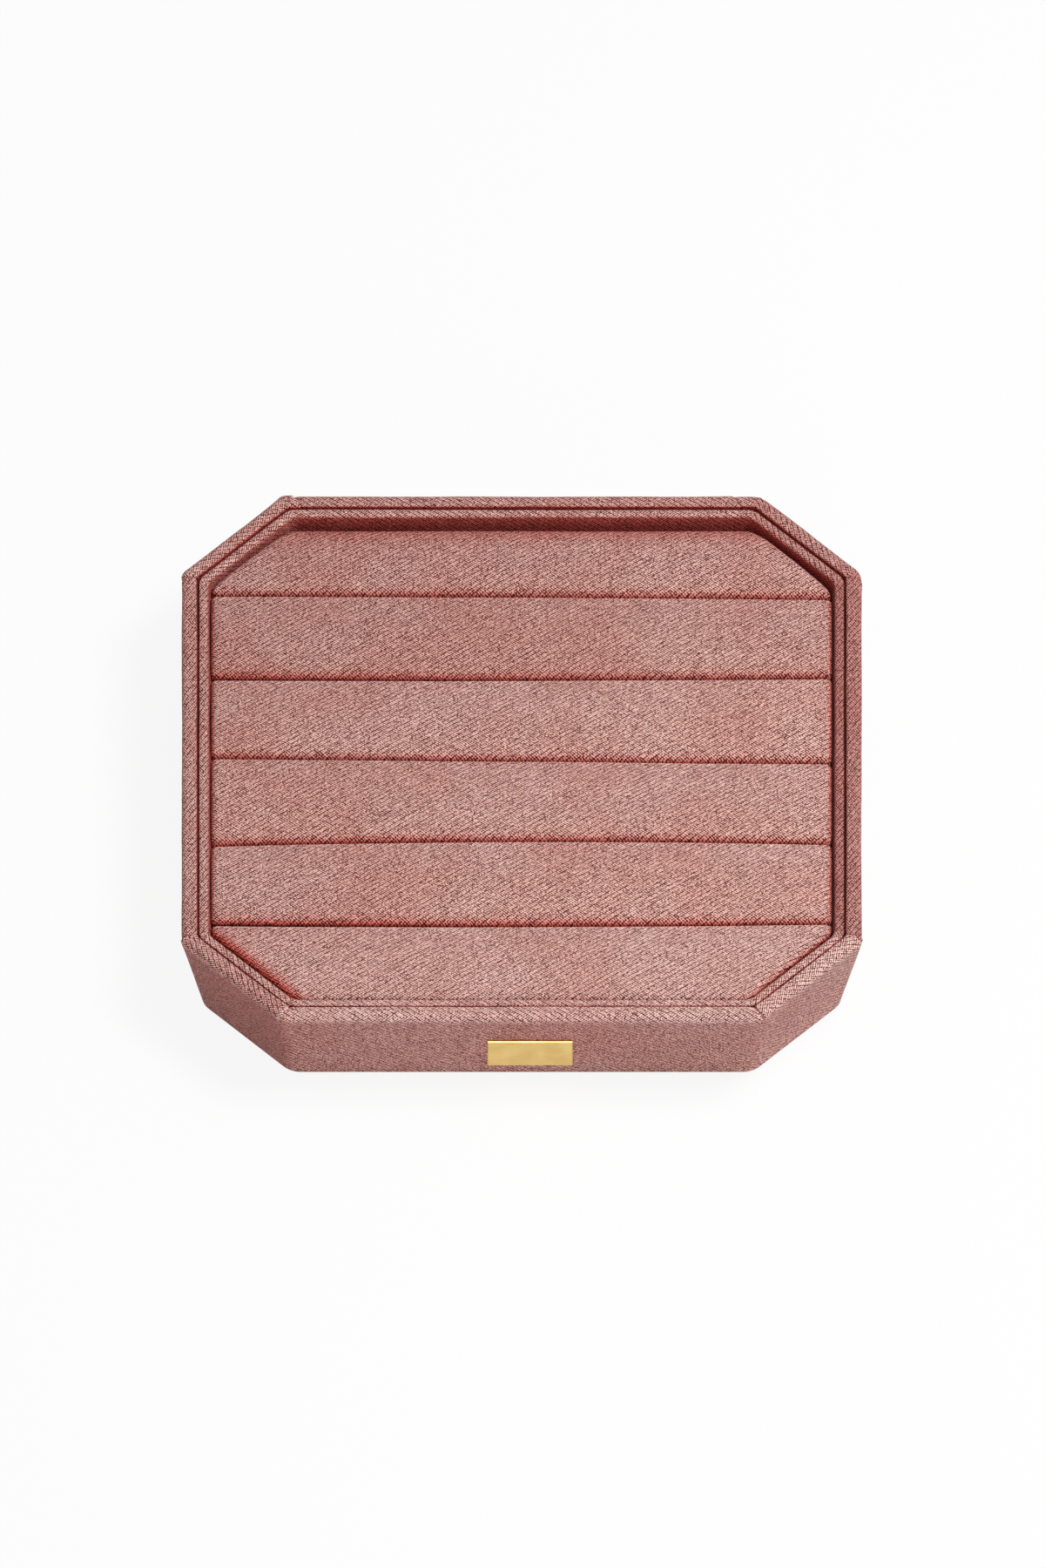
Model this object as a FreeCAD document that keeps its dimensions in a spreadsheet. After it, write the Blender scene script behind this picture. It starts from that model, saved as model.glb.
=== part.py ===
"""Octagonal ring tray: cloth-wrapped board walls, a cloth-covered liner and a lift-out insert of padded ring bars.

Millimetres, +Z up. The origin is the middle of the underside, the front is towards -Y and the width runs along X.
All eight walls lean out by the same amount, so every level of the tray is an octagon with 45 degree corners.
"""
import FreeCAD
import Part
import Sketcher
import os

# Driving dimensions: alias, value in millimetres, what it sets.
DIMENSIONS = [
    ("tray_width", 200.7, "width across the rim before its edges are rounded, 200 once they are"),
    ("tray_length", 200.7, "length across the rim, front to back, in the same way"),
    ("tray_height", 33.5, "table to rim"),
    ("corner_leg", 29.7, "leg of the cut-off corner at the rim, equal both ways"),
    ("base_inset", 7.3, "how far each wall leans in between rim and table"),
    ("corner_round", 4.0, "radius of the upright outside corners"),
    ("wrap_cloth", 0.8, "thickness of the cloth round the walls"),
    ("wall_board", 3.2, "thickness of the wall boards"),
    ("base_board", 3.0, "thickness of the bottom board"),
    ("rim_round", 1.5, "radius of the two edges of the rim"),
    ("turn_in", 15.0, "how far the cloth is turned down inside the rim"),
    ("hem_width", 12.0, "how far the cloth is turned under the bottom board"),
    ("felt", 0.8, "thickness of the felt under the tray"),
    ("felt_inset", 2.5, "felt edge to the bottom edge of the wall"),
    ("liner_gap", 0.45, "open joint between wall and liner"),
    ("liner_card", 1.4, "thickness of the folded liner strip"),
    ("liner_cloth", 0.7, "thickness of the cloth on the liner"),
    ("liner_drop", 0.8, "liner top below the rim"),
    ("liner_round", 0.9, "radius of the two top edges of the liner"),
    ("liner_bend", 5.0, "radius of the liner's corners"),
    ("insert_card", 1.5, "thickness of the card under the ring bars"),
    ("insert_clearance", 0.8, "card to the liner"),
    ("bar_drop", 1.0, "crown of the ring bars below the rim"),
    ("bar_crown", 0.9, "rise of a bar's crown over its long edges"),
    ("bar_round", 1.8, "radius of the top edges of a bar"),
    ("bar_cloth", 0.8, "thickness of the cloth on the bars"),
    ("bar_side_gap", 1.2, "top of the bar ends to the liner"),
    ("bar_end_gap", 3.2, "top of the first and last bar to the liner"),
    ("bar_corner_gap", 1.8, "top of the cut corners of the insert to the liner"),
    ("foot_side_gap", 1.6, "foot of the bar ends to the liner"),
    ("foot_gap", 0.8, "foot of the first and last bar and of the cut corners to the liner"),
    ("short_end", 3.2, "straight end left on the first and last bar beside the cut corner"),
    ("slit_gap", 0.5, "open slit between two bars"),
    ("plate_width", 25.0, "width of the metal plate"),
    ("plate_height", 15.0, "height of the metal plate along the wall"),
    ("plate_metal", 1.0, "thickness of the metal plate"),
    ("plate_low", 6.0, "lower edge of the plate above the table"),
    ("plate_offset", 2.5, "middle of the plate to the right of the tray's middle"),
    ("plate_bevel", 0.25, "bevel round the plate's face"),
    ("leg_diameter", 1.2, "diameter of the plate's two legs"),
    ("leg_length", 3.2, "length of the legs behind the plate"),
    ("leg_spacing", 16.0, "distance between the two legs"),
    ("leg_clearance", 0.05, "room round each leg in its hole"),
]
BAR_COUNT = 6

# Lengths worked out from the sheet, as expressions.
LEAN = "(Dims.base_inset / Dims.tray_height)"
CORNER = "tan(22.5 deg)"
WALL = "(2 * Dims.wrap_cloth + Dims.wall_board)"
HEM_TOP = "(Dims.felt + Dims.wrap_cloth)"
FLOOR = f"({HEM_TOP} + Dims.base_board)"
WALL_TOP = "(Dims.tray_height - Dims.wrap_cloth)"
TURN_IN_END = "(Dims.tray_height - Dims.turn_in)"
LINER_OUTSIDE = f"({WALL} + Dims.liner_gap)"
LINER_INSIDE = f"({LINER_OUTSIDE} + Dims.liner_card + 2 * Dims.liner_cloth)"
LINER_TOP = "(Dims.tray_height - Dims.liner_drop)"
CARD_TOP = f"({FLOOR} + Dims.insert_card)"
BAR_TOP = "(Dims.tray_height - Dims.bar_drop)"

# The eight walls, anticlockwise from the front one: name, side length, middle of the side at the rim.
STRAIGHT_X = "(Dims.tray_width - 2 * Dims.corner_leg)"
STRAIGHT_Y = "(Dims.tray_length - 2 * Dims.corner_leg)"
SLANT = "(Dims.corner_leg * sqrt(2))"
MID_X = "(Dims.tray_width - Dims.corner_leg) / 2"
MID_Y = "(Dims.tray_length - Dims.corner_leg) / 2"
WALLS = [
    ("front", STRAIGHT_X, "0", "-Dims.tray_length / 2"),
    ("front_right", SLANT, MID_X, f"-{MID_Y}"),
    ("right", STRAIGHT_Y, "Dims.tray_width / 2", "0"),
    ("back_right", SLANT, MID_X, MID_Y),
    ("back", STRAIGHT_X, "0", "Dims.tray_length / 2"),
    ("back_left", SLANT, f"-{MID_X}", MID_Y),
    ("left", STRAIGHT_Y, "-Dims.tray_width / 2", "0"),
    ("front_left", SLANT, f"-{MID_X}", f"-{MID_Y}"),
]

SAME = 1e-4
doc = FreeCAD.newDocument("ring_tray")


def fill_sheet():
    """Writes the driving dimensions into the sheet, one alias a row."""
    sheet = doc.addObject("Spreadsheet::Sheet", "Dims")
    for row, (alias, size, words) in enumerate(DIMENSIONS, start=1):
        sheet.set(f"A{row}", words)
        sheet.set(f"B{row}", str(size))
        sheet.setAlias(f"B{row}", alias)
    doc.recompute()
    return sheet


SHEET = fill_sheet()


def length_of(expression):
    """The value of an expression on the sheet, in millimetres."""
    return float(SHEET.evalExpression(expression))


def leaned(inset, height):
    """Inset from the rim's outline, at a height, of a face that leans with the wall."""
    return f"({inset} + {LEAN} * (Dims.tray_height - {height}))"


def octagon(inset):
    """Corners of the tray's octagon moved in by an inset, anticlockwise from the front right."""
    side = f"(Dims.tray_width / 2 - {inset})"
    end = f"(Dims.tray_length / 2 - {inset})"
    end_x = f"({STRAIGHT_X} / 2 - {CORNER} * {inset})"
    side_y = f"({STRAIGHT_Y} / 2 - {CORNER} * {inset})"
    right = [(end_x, f"-{end}"), (side, f"-{side_y}"), (side, side_y), (end_x, end)]
    return right + [(f"-{x}", y) for x, y in reversed(right)]


def add_sketch(body, name, plane, height=None):
    """An empty sketch on one of the body's own planes, raised to a height if one is given."""
    sketch = body.newObject("Sketcher::SketchObject", name)
    support = next(f for f in body.Origin.OriginFeatures if f.Role == plane)
    sketch.AttachmentSupport = [(support, "")]
    sketch.MapMode = "FlatFace"
    if height is not None:
        sketch.setExpression("AttachmentOffset.Base.z", height)
    return sketch


def pin_point(sketch, geometry, end, corner):
    """Ties one end of a line to a place given by two expressions."""
    for kind, expression in zip(("DistanceX", "DistanceY"), corner):
        constraint = Sketcher.Constraint(kind, -1, 1, geometry, end, length_of(expression))
        sketch.setExpression(f"Constraints[{sketch.addConstraint(constraint)}]", expression)


def draw_polygon(sketch, corners):
    """A closed outline of straight lines through the corners."""
    points = [FreeCAD.Vector(length_of(x), length_of(y), 0) for x, y in corners]
    count = len(points)
    lines = []
    for i in range(count):
        segment = Part.LineSegment(points[i], points[(i + 1) % count])
        lines.append(sketch.addGeometry(segment, False))
    for i in range(count):
        sketch.addConstraint(Sketcher.Constraint("Coincident", lines[i], 2, lines[(i + 1) % count], 1))
    for line, corner in zip(lines, corners):
        pin_point(sketch, line, 1, corner)


def draw_circle(sketch, across, diameter):
    """A circle on the sketch's own X axis."""
    centre = FreeCAD.Vector(length_of(across), 0, 0)
    circle = sketch.addGeometry(Part.Circle(centre, FreeCAD.Vector(0, 0, 1), length_of(diameter) / 2), False)
    sketch.addConstraint(Sketcher.Constraint("PointOnObject", circle, 3, -1))
    place = Sketcher.Constraint("DistanceX", -1, 1, circle, 3, length_of(across))
    sketch.setExpression(f"Constraints[{sketch.addConstraint(place)}]", across)
    size = Sketcher.Constraint("Diameter", circle, length_of(diameter))
    sketch.setExpression(f"Constraints[{sketch.addConstraint(size)}]", diameter)


def add_pad(body, name, sketch, depth, reversed_way=False):
    """A pad of a sketch to a depth given by an expression."""
    pad = body.newObject("PartDesign::Pad", name)
    pad.Profile = sketch
    pad.Reversed = reversed_way
    pad.setExpression("Length", depth)
    doc.recompute()
    return pad


def cut_through(body, name, sketch):
    """A pocket of a sketch, right through the body on both sides of the sketch."""
    before = body.Shape.Volume
    pocket = body.newObject("PartDesign::Pocket", name)
    pocket.Profile = sketch
    pocket.Type = "ThroughAll"
    pocket.Midplane = True
    doc.recompute()
    if pocket.Shape.Volume >= before:
        raise RuntimeError(f"{name} took nothing away")
    return pocket


def add_body(label):
    """An empty body with a label."""
    body = doc.addObject("PartDesign::Body", label)
    body.Label = label
    return body


def upright_block(label, corners, low, high):
    """A body with upright sides, drawn at its top and padded down, and its pad."""
    body = add_body(label)
    sketch = add_sketch(body, f"{label}_outline", "XY_Plane", high)
    draw_polygon(sketch, corners)
    return body, add_pad(body, f"{label}_block", sketch, f"{high} - {low}", True)


def leaning_block(label, inset, low, high):
    """A body in the shape of the tray's octagon between two heights, its sides leaning with the walls."""
    body, block = upright_block(label, octagon(leaned(inset, high)), low, high)
    lean_faces(body, f"{label}_lean", block, lambda normal: True, LEAN)
    return body


def lean_faces(body, name, block, wanted, slope):
    """Leans the upright faces whose outward normal is wanted, about the block's top, by run over rise."""
    faces = []
    top = None
    for i, face in enumerate(block.Shape.Faces, start=1):
        normal = face.normalAt(*[sum(face.ParameterRange[k:k + 2]) / 2 for k in (0, 2)])
        if normal.z > 0.99:
            top = f"Face{i}"
        elif abs(normal.z) < 0.01 and wanted(normal):
            faces.append(f"Face{i}")
    draft = body.newObject("PartDesign::Draft", name)
    draft.Base = (block, faces)
    draft.NeutralPlane = (block, [top])
    draft.Reversed = True
    draft.setExpression("Angle", f"atan({slope})")
    doc.recompute()
    if draft.Shape.isNull() or draft.Shape.Volume >= block.Shape.Volume:
        raise RuntimeError(f"{name} did not lean inwards")
    return draft


def rising_edges(feature):
    """Names of the edges that run from one level to another."""
    return edge_names(feature, lambda edge: edge.BoundBox.ZLength > SAME)


def edges_at(feature, height):
    """Names of the edges that lie flat at a height."""
    level = length_of(height)
    return edge_names(
        feature,
        lambda edge: abs(edge.BoundBox.ZMin - level) < SAME and abs(edge.BoundBox.ZMax - level) < SAME,
    )


def edge_names(feature, wanted):
    """Names of the edges of a feature that pass a test."""
    return [f"Edge{i}" for i, edge in enumerate(feature.Shape.Edges, start=1) if wanted(edge)]


def soften(body, name, feature, edges, size, kind="PartDesign::Fillet", measure="Radius"):
    """Rounds or bevels some edges of a body's last feature."""
    edge_feature = body.newObject(kind, name)
    edge_feature.Base = (feature, edges)
    edge_feature.setExpression(measure, size)
    doc.recompute()
    return edge_feature


def fuse(label, pieces):
    """One tool made of several touching pieces."""
    joined = doc.addObject("Part::MultiFuse", label)
    joined.Shapes = pieces
    doc.recompute()
    return joined


def cut(label, base, tool):
    """What is left of the base once the tool is taken away."""
    left = doc.addObject("Part::Cut", label)
    left.Base = base
    left.Tool = tool
    left.Label = label
    doc.recompute()
    return left


def make_base_board():
    """The bottom board, which carries the walls on its rim."""
    return leaning_block("base_board", "Dims.wrap_cloth", HEM_TOP, FLOOR)


def make_bottom_felt():
    """Felt glued under the tray: it covers the hem and fills the window inside it."""
    body = add_body("bottom_felt")
    outline = add_sketch(body, "felt_outline", "XY_Plane")
    draw_polygon(outline, octagon(f"({leaned('0', 'Dims.felt')} + Dims.felt_inset)"))
    add_pad(body, "felt_sheet", outline, "Dims.felt")
    window = add_sketch(body, "felt_window", "XY_Plane", "Dims.felt")
    draw_polygon(window, octagon(hem_inset()))
    add_pad(body, "felt_middle", window, "Dims.wrap_cloth")
    return body


def hem_inset():
    """Inset of the inner edge of the cloth that is turned under the bottom board."""
    return f"({leaned('0', 'Dims.felt')} + Dims.hem_width)"


def make_wall_board(label, turn, side, x, y):
    """A leaning wall board that stands on the bottom board, mitred against its neighbours.

    In the wall's own frame +Y points inwards and Y = 0 is the outside of the rim.
    """
    body = add_body(label)
    section = add_sketch(body, f"{label}_section", "YZ_Plane")
    foot = leaned("Dims.wrap_cloth", FLOOR)
    head = leaned("Dims.wrap_cloth", WALL_TOP)
    inner_foot = f"({foot} + Dims.wall_board)"
    draw_polygon(
        section,
        [(foot, FLOOR), (inner_foot, FLOOR), (f"({head} + Dims.wall_board)", WALL_TOP), (head, WALL_TOP)],
    )
    plank = add_pad(body, f"{label}_plank", section, side)
    plank.Midplane = True
    doc.recompute()
    mitres = add_sketch(body, f"{label}_mitres", "XY_Plane")
    beyond = f"({side} / 2 + Dims.wall_board)"
    narrow = f"({side} / 2 - {CORNER} * {inner_foot})"
    for sign in ("", "-"):
        corners = [(f"({side} / 2)", "0"), (beyond, "0"), (beyond, inner_foot), (narrow, inner_foot)]
        draw_polygon(mitres, [(sign + across, inwards) for across, inwards in corners])
    cut_through(body, f"{label}_ends", mitres)
    body.Placement.Rotation = FreeCAD.Rotation(FreeCAD.Vector(0, 0, 1), turn)
    body.setExpression("Placement.Base.x", x)
    body.setExpression("Placement.Base.y", y)
    doc.recompute()
    return body


def set_on_front_wall(body):
    """Puts a body's XY plane on the outside of the front wall, with its +Z pointing out of the wall."""
    slope = f"atan({LEAN})"
    middle = f"(Dims.plate_low + Dims.plate_height / 2 * cos({slope}))"
    body.Placement.Rotation = FreeCAD.Rotation(FreeCAD.Vector(1, 0, 0), 90)
    body.setExpression("Placement.Rotation.Angle", f"90 deg + {slope}")
    body.setExpression("Placement.Base.x", "Dims.plate_offset")
    body.setExpression("Placement.Base.y", f"-Dims.tray_length / 2 + {leaned('0', middle)}")
    body.setExpression("Placement.Base.z", middle)
    doc.recompute()


def add_legs(body, name, diameter, depth):
    """Two legs that point back into the wall."""
    sketch = add_sketch(body, f"{name}_sketch", "XY_Plane")
    for sign in ("-", ""):
        draw_circle(sketch, f"{sign}Dims.leg_spacing / 2", diameter)
    return add_pad(body, name, sketch, depth, True)


def make_nameplate():
    """The bare metal plate with its two legs."""
    body = add_body("nameplate")
    half_x, half_y = "Dims.plate_width / 2", "Dims.plate_height / 2"
    face = add_sketch(body, "plate_face", "XY_Plane")
    draw_polygon(
        face,
        [(f"-{half_x}", f"-{half_y}"), (half_x, f"-{half_y}"), (half_x, half_y), (f"-{half_x}", half_y)],
    )
    plate = add_pad(body, "plate", face, "Dims.plate_metal")
    front = edges_at(plate, "Dims.plate_metal")
    soften(body, "plate_edge", plate, front, "Dims.plate_bevel", "PartDesign::Chamfer", "Size")
    add_legs(body, "plate_legs", "Dims.leg_diameter", "Dims.leg_length")
    set_on_front_wall(body)
    return body


def make_leg_holes():
    """The room that the plate's legs need in the wall."""
    body = add_body("leg_holes")
    add_legs(
        body,
        "leg_room",
        "Dims.leg_diameter + 2 * Dims.leg_clearance",
        "Dims.leg_length + Dims.leg_clearance",
    )
    set_on_front_wall(body)
    return body


def make_wall_boards(leg_holes):
    """The eight wall boards; the front one is drilled for the plate's legs."""
    boards = []
    for place, (name, side, x, y) in enumerate(WALLS):
        turn = 360 * place / len(WALLS)
        if name == "front":
            blank = make_wall_board("front_wall_blank", turn, side, x, y)
            boards.append(cut("front_wall_board", blank, leg_holes))
        else:
            boards.append(make_wall_board(f"{name}_wall_board", turn, side, x, y))
    return boards


def round_top(label, base, height, radius):
    """The base with every edge at a height rounded."""
    rounded = doc.addObject("Part::Fillet", label)
    rounded.Base = base
    size = length_of(radius)
    rounded.Edges = [(int(name[4:]), size, size) for name in edges_at(base, height)]
    rounded.Label = label
    doc.recompute()
    return rounded


def make_outer_wrap(base_board, boards, leg_holes):
    """The cloth round the walls: up the outside, over the rim, down the inside and under the bottom."""
    block = leaning_block("wrap_block", "0", "Dims.felt", "Dims.tray_height")
    soften(block, "wrap_corners", block.Tip, rising_edges(block.Tip), "Dims.corner_round")
    mouth = leaning_block("wrap_mouth", WALL, TURN_IN_END, "Dims.tray_height")
    ring = cut("wrap_sharp", block, mouth)
    form = round_top("wrap_form", ring, "Dims.tray_height", "Dims.rim_round")
    well = leaning_block("wrap_well", "(Dims.wrap_cloth + Dims.wall_board)", FLOOR, TURN_IN_END)
    window, _ = upright_block("hem_window", octagon(hem_inset()), "Dims.felt", HEM_TOP)
    tool = fuse("wrap_inside", [base_board, well, window, leg_holes] + boards)
    return cut("outer_wrap", form, tool)


def make_liner_strip():
    """The folded card strip that stands inside the walls."""
    top = f"({LINER_TOP} - Dims.liner_cloth)"
    outside = f"({LINER_OUTSIDE} + Dims.liner_cloth)"
    block = leaning_block("strip_block", outside, FLOOR, top)
    well = leaning_block("strip_well", f"({outside} + Dims.liner_card)", FLOOR, top)
    return cut("liner_strip", block, well)


def make_liner_cloth(strip):
    """The cloth over the liner strip, rounded where the strip is folded."""
    block = leaning_block("liner_block", LINER_OUTSIDE, FLOOR, LINER_TOP)
    soften(block, "liner_block_bends", block.Tip, rising_edges(block.Tip), "Dims.liner_bend")
    well = leaning_block("liner_well", LINER_INSIDE, FLOOR, LINER_TOP)
    soften(well, "liner_well_bends", well.Tip, rising_edges(well.Tip), "Dims.liner_bend")
    ring = cut("liner_sharp", block, well)
    form = round_top("liner_form", ring, LINER_TOP, "Dims.liner_round")
    return cut("liner_cloth", form, strip)


def make_insert_card():
    """The card that the ring bars are glued to."""
    return leaning_block("insert_card", f"({LINER_INSIDE} + Dims.insert_clearance)", FLOOR, CARD_TOP)


BAR_FACE = leaned(LINER_INSIDE, BAR_TOP)
BAR_RISE = f"({BAR_TOP} - {CARD_TOP})"
BAR_HALF_X = f"(Dims.tray_width / 2 - {BAR_FACE} - Dims.bar_side_gap)"
BAR_HALF_Y = f"(Dims.tray_length / 2 - {BAR_FACE} - Dims.bar_end_gap)"
CORNER_REACH = "(Dims.tray_width / 2 + Dims.tray_length / 2 - Dims.corner_leg)"
BAR_CORNER_SUM = f"({CORNER_REACH} - sqrt(2) * ({BAR_FACE} + Dims.bar_corner_gap))"
OUTER_SLIT = f"({BAR_CORNER_SUM} - {BAR_HALF_X} - Dims.short_end)"


def slit_place(number):
    """Y of a slit between two bars, counted from the back."""
    share = 1 - 2 * (number - 1) / (BAR_COUNT - 2)
    return f"({share} * {OUTER_SLIT})"


def bar_outline(row, inset):
    """Plan of a ring bar at its top, moved in by an inset; rows count from the back."""
    half_x = f"({BAR_HALF_X} - {inset})"
    half_y = f"({BAR_HALF_Y} - {inset})"
    corner_sum = f"({BAR_CORNER_SUM} - sqrt(2) * {inset})"
    corner_x = f"({corner_sum} - {half_y})"
    corner_y = f"({corner_sum} - {half_x})"
    front, back = bar_edges(row, inset)
    if row == 1:
        right = [(half_x, front), (half_x, corner_y), (corner_x, back)]
    elif row == BAR_COUNT:
        right = [(corner_x, front), (half_x, f"-{corner_y}"), (half_x, back)]
    else:
        right = [(half_x, front), (half_x, back)]
    return right + [(f"-{x}", y) for x, y in reversed(right)]


def bar_edges(row, inset):
    """Y of a bar's front and back edge at its top."""
    half_y = f"({BAR_HALF_Y} - {inset})"
    room = f"(Dims.slit_gap / 2 + {inset})"
    back = half_y if row == 1 else f"({slit_place(row - 1)} - {room})"
    front = f"-{half_y}" if row == BAR_COUNT else f"({slit_place(row)} + {room})"
    return front, back


def crown_cut(body, name, row, inset):
    """Takes away what stands above a bar's crown, an arc across its width."""
    top = f"({BAR_TOP} - {inset})"
    front, back = bar_edges(row, inset)
    edge = f"({top} - Dims.bar_crown)"
    above = f"({top} + Dims.bar_crown)"
    half = f"(({back} - {front}) / 2)"
    radius = f"(({half}) ^ 2 / (2 * Dims.bar_crown) + Dims.bar_crown / 2)"
    sketch = add_sketch(body, f"{name}_sketch", "YZ_Plane")
    corners = [(front, edge), (front, above), (back, above), (back, edge)]
    points = [FreeCAD.Vector(length_of(y), length_of(z), 0) for y, z in corners]
    apex = FreeCAD.Vector((points[0].x + points[3].x) / 2, length_of(top), 0)
    arc = sketch.addGeometry(Part.Arc(points[3], apex, points[0]), False)
    lines = [sketch.addGeometry(Part.LineSegment(points[i], points[i + 1]), False) for i in range(3)]
    joins = [(arc, 2, lines[0], 1), (lines[0], 2, lines[1], 1), (lines[1], 2, lines[2], 1), (lines[2], 2, arc, 1)]
    for join in joins:
        sketch.addConstraint(Sketcher.Constraint("Coincident", *join))
    for line, corner in zip(lines, corners):
        pin_point(sketch, line, 1, corner)
    pin_point(sketch, lines[2], 2, corners[3])
    bend = Sketcher.Constraint("Radius", arc, length_of(radius))
    sketch.setExpression(f"Constraints[{sketch.addConstraint(bend)}]", radius)
    return cut_through(body, name, sketch)


def lean_bar(body, label, row, block):
    """Leans the ends of a bar, and the outer sides of the first and last bar, to suit the liner."""
    ends = f"({LEAN} + (Dims.foot_side_gap - Dims.bar_side_gap) / {BAR_RISE})"
    leaned_bar = lean_faces(body, f"{label}_ends", block, lambda normal: abs(normal.x) > 0.99, ends)
    outward = 1 if row == 1 else -1
    if row in (1, BAR_COUNT):
        side = f"({LEAN} + (Dims.foot_gap - Dims.bar_end_gap) / {BAR_RISE})"
        leaned_bar = lean_faces(
            body, f"{label}_side", leaned_bar, lambda normal: normal.y * outward > 0.99, side
        )
        corner = f"({LEAN} + (Dims.foot_gap - Dims.bar_corner_gap) / {BAR_RISE})"
        leaned_bar = lean_faces(
            body, f"{label}_corners", leaned_bar, lambda normal: 0.5 < abs(normal.x) < 0.9, corner
        )
    return leaned_bar


def bar_body(label, row, inset):
    """A ring bar's form: leaning ends, a crowned top and rounded top edges."""
    body, block = upright_block(label, bar_outline(row, inset), CARD_TOP, f"({BAR_TOP} - {inset})")
    lean_bar(body, label, row, block)
    crown = crown_cut(body, f"{label}_crown", row, inset)
    wall_top = length_of(f"{BAR_TOP} - {inset} - 2 * Dims.bar_crown")
    top = edge_names(crown, lambda edge: edge.BoundBox.ZMin > wall_top)
    clear_end = f"(Dims.short_end - Dims.slit_gap / 2 - {inset} * (1 + {CORNER}))"
    radius = f"min(Dims.bar_round - {inset}; {clear_end} / (1 + {CORNER}) * 0.95)"
    soften(body, f"{label}_edges", crown, top, radius)
    return body


def make_ring_bar(row):
    """The foam core and the cloth cover of one ring bar."""
    form = bar_body(f"bar_{row}_form", row, "0")
    foam = bar_body(f"bar_{row}_foam", row, "Dims.bar_cloth")
    cover = cut(f"bar_{row}_cover", form, foam)
    return [foam, cover]


def make_parts():
    """Every sub-part of the tray, in the order in which it is put together."""
    leg_holes = make_leg_holes()
    base_board = make_base_board()
    boards = make_wall_boards(leg_holes)
    strip = make_liner_strip()
    parts = [make_bottom_felt(), base_board, *boards, make_outer_wrap(base_board, boards, leg_holes)]
    parts += [strip, make_liner_cloth(strip), make_nameplate(), make_insert_card()]
    for row in range(1, BAR_COUNT + 1):
        parts += make_ring_bar(row)
    return parts


def check_document(parts):
    """Stops if any object failed or any sub-part isn't a valid solid."""
    for item in doc.Objects:
        if "Invalid" in item.State or "Error" in item.State:
            raise RuntimeError(f"{item.Label} failed: {item.State}")
    for part in parts:
        shape = part.Shape
        if shape.isNull() or not shape.isValid() or not shape.Solids:
            raise RuntimeError(f"{part.Label} is not a valid solid")


def main():
    """Builds the tray and writes one STEP file for each sub-part."""
    parts = make_parts()
    doc.recompute()
    check_document(parts)
    os.makedirs("parts", exist_ok=True)
    for part in parts:
        part.Shape.exportStep(f"parts/{part.Label}.step")
        print(f"{part.Label}: {len(part.Shape.Solids)} solid, {part.Shape.Volume / 1000:.2f} cm3")


main()
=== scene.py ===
"""Dusty-rose ring tray with cut corners: wrapped leaning walls, a covered liner and padded ring bars.

Sizes of pieces are millimetres in the tray's own frame: +Z up, the front towards -Y, and the origin in the
middle of the underside. They become metres when a mesh is made. Finishes and the studio say their own units.
"""
import logging
import math
from collections.abc import Callable
from dataclasses import dataclass, field
from enum import Enum

import bpy
import numpy as np
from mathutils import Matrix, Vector


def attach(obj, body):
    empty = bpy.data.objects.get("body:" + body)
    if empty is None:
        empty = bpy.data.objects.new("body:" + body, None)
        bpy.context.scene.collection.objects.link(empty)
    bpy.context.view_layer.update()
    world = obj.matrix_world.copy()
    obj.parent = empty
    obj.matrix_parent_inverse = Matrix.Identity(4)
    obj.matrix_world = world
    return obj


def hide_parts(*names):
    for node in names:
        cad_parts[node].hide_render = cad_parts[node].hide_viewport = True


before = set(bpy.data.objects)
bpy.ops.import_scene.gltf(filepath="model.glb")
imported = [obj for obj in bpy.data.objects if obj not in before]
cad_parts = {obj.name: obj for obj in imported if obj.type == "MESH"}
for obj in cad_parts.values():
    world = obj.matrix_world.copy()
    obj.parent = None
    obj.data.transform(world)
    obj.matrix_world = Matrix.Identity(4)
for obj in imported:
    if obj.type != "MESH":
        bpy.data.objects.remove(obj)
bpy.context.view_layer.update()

logging.basicConfig(level=logging.INFO, format="%(message)s")
LOG = logging.getLogger("ring_tray")

MM = 0.001
TINY = 1e-9
SIDES = 8
EIGHTH_TURN = math.pi / 4

# The cloth's own map, and what a mesh holds at each point: how free the cloth is, its painted shade in
# creases and gaps, and its painted light and shade along with the lie of its pile.
CLOTH_UV = "cloth"
SLACK = "slack"
PAINTED_SHADE = "crease"
NAP_AND_LIGHT = "nap_and_light"

# Painted shade: a crease of 1 paints the deep red of light bounced between the cloth in a crease or gap.
# From there to the deepest one it turns nearly black, as painted shadow.
RED_SHADE = 1.0
DEEPEST_SHADE = 1.5

# Millimetres between a section's points: on cloth that shows, on its hidden side and on a rounded corner.
SKIN_STEP = 1.6
UNDER_STEP = 6.0
ARC_STEP = 0.3

Pair = tuple[float, float]
Place = tuple[float, float, float]
Colour = tuple[float, float, float]
FRONTWARDS: Pair = (0.0, -1.0)
Values = float | np.ndarray
Socket = bpy.types.NodeSocket
Material = bpy.types.Material
Piece = bpy.types.Object
Dressing = Callable[[int], tuple[np.ndarray, np.ndarray, np.ndarray]]


class Body(Enum):
    """The bodies of the tray that pieces ride on."""

    TRAY = "tray"
    INSERT = "ring_insert"


class Slot(Enum):
    """The record's finishes that the pieces made here take."""

    TWILL = "rose_twill"
    FELT = "felt"


class Lap(Enum):
    """Which side's cloth lies on top at a corner, going anticlockwise round the tray."""

    BEFORE = -1.0
    AFTER = 1.0


class Row(Enum):
    """Where a ring bar lies in the insert."""

    BACK = "back"
    MIDDLE = "middle"
    FRONT = "front"


def ramp(values: Values, start: Values, end: Values) -> np.ndarray:
    """Rises from 0 at the start to 1 at the end and stays level beyond them."""
    return np.clip((values - start) / (end - start), 0, 1)


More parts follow.
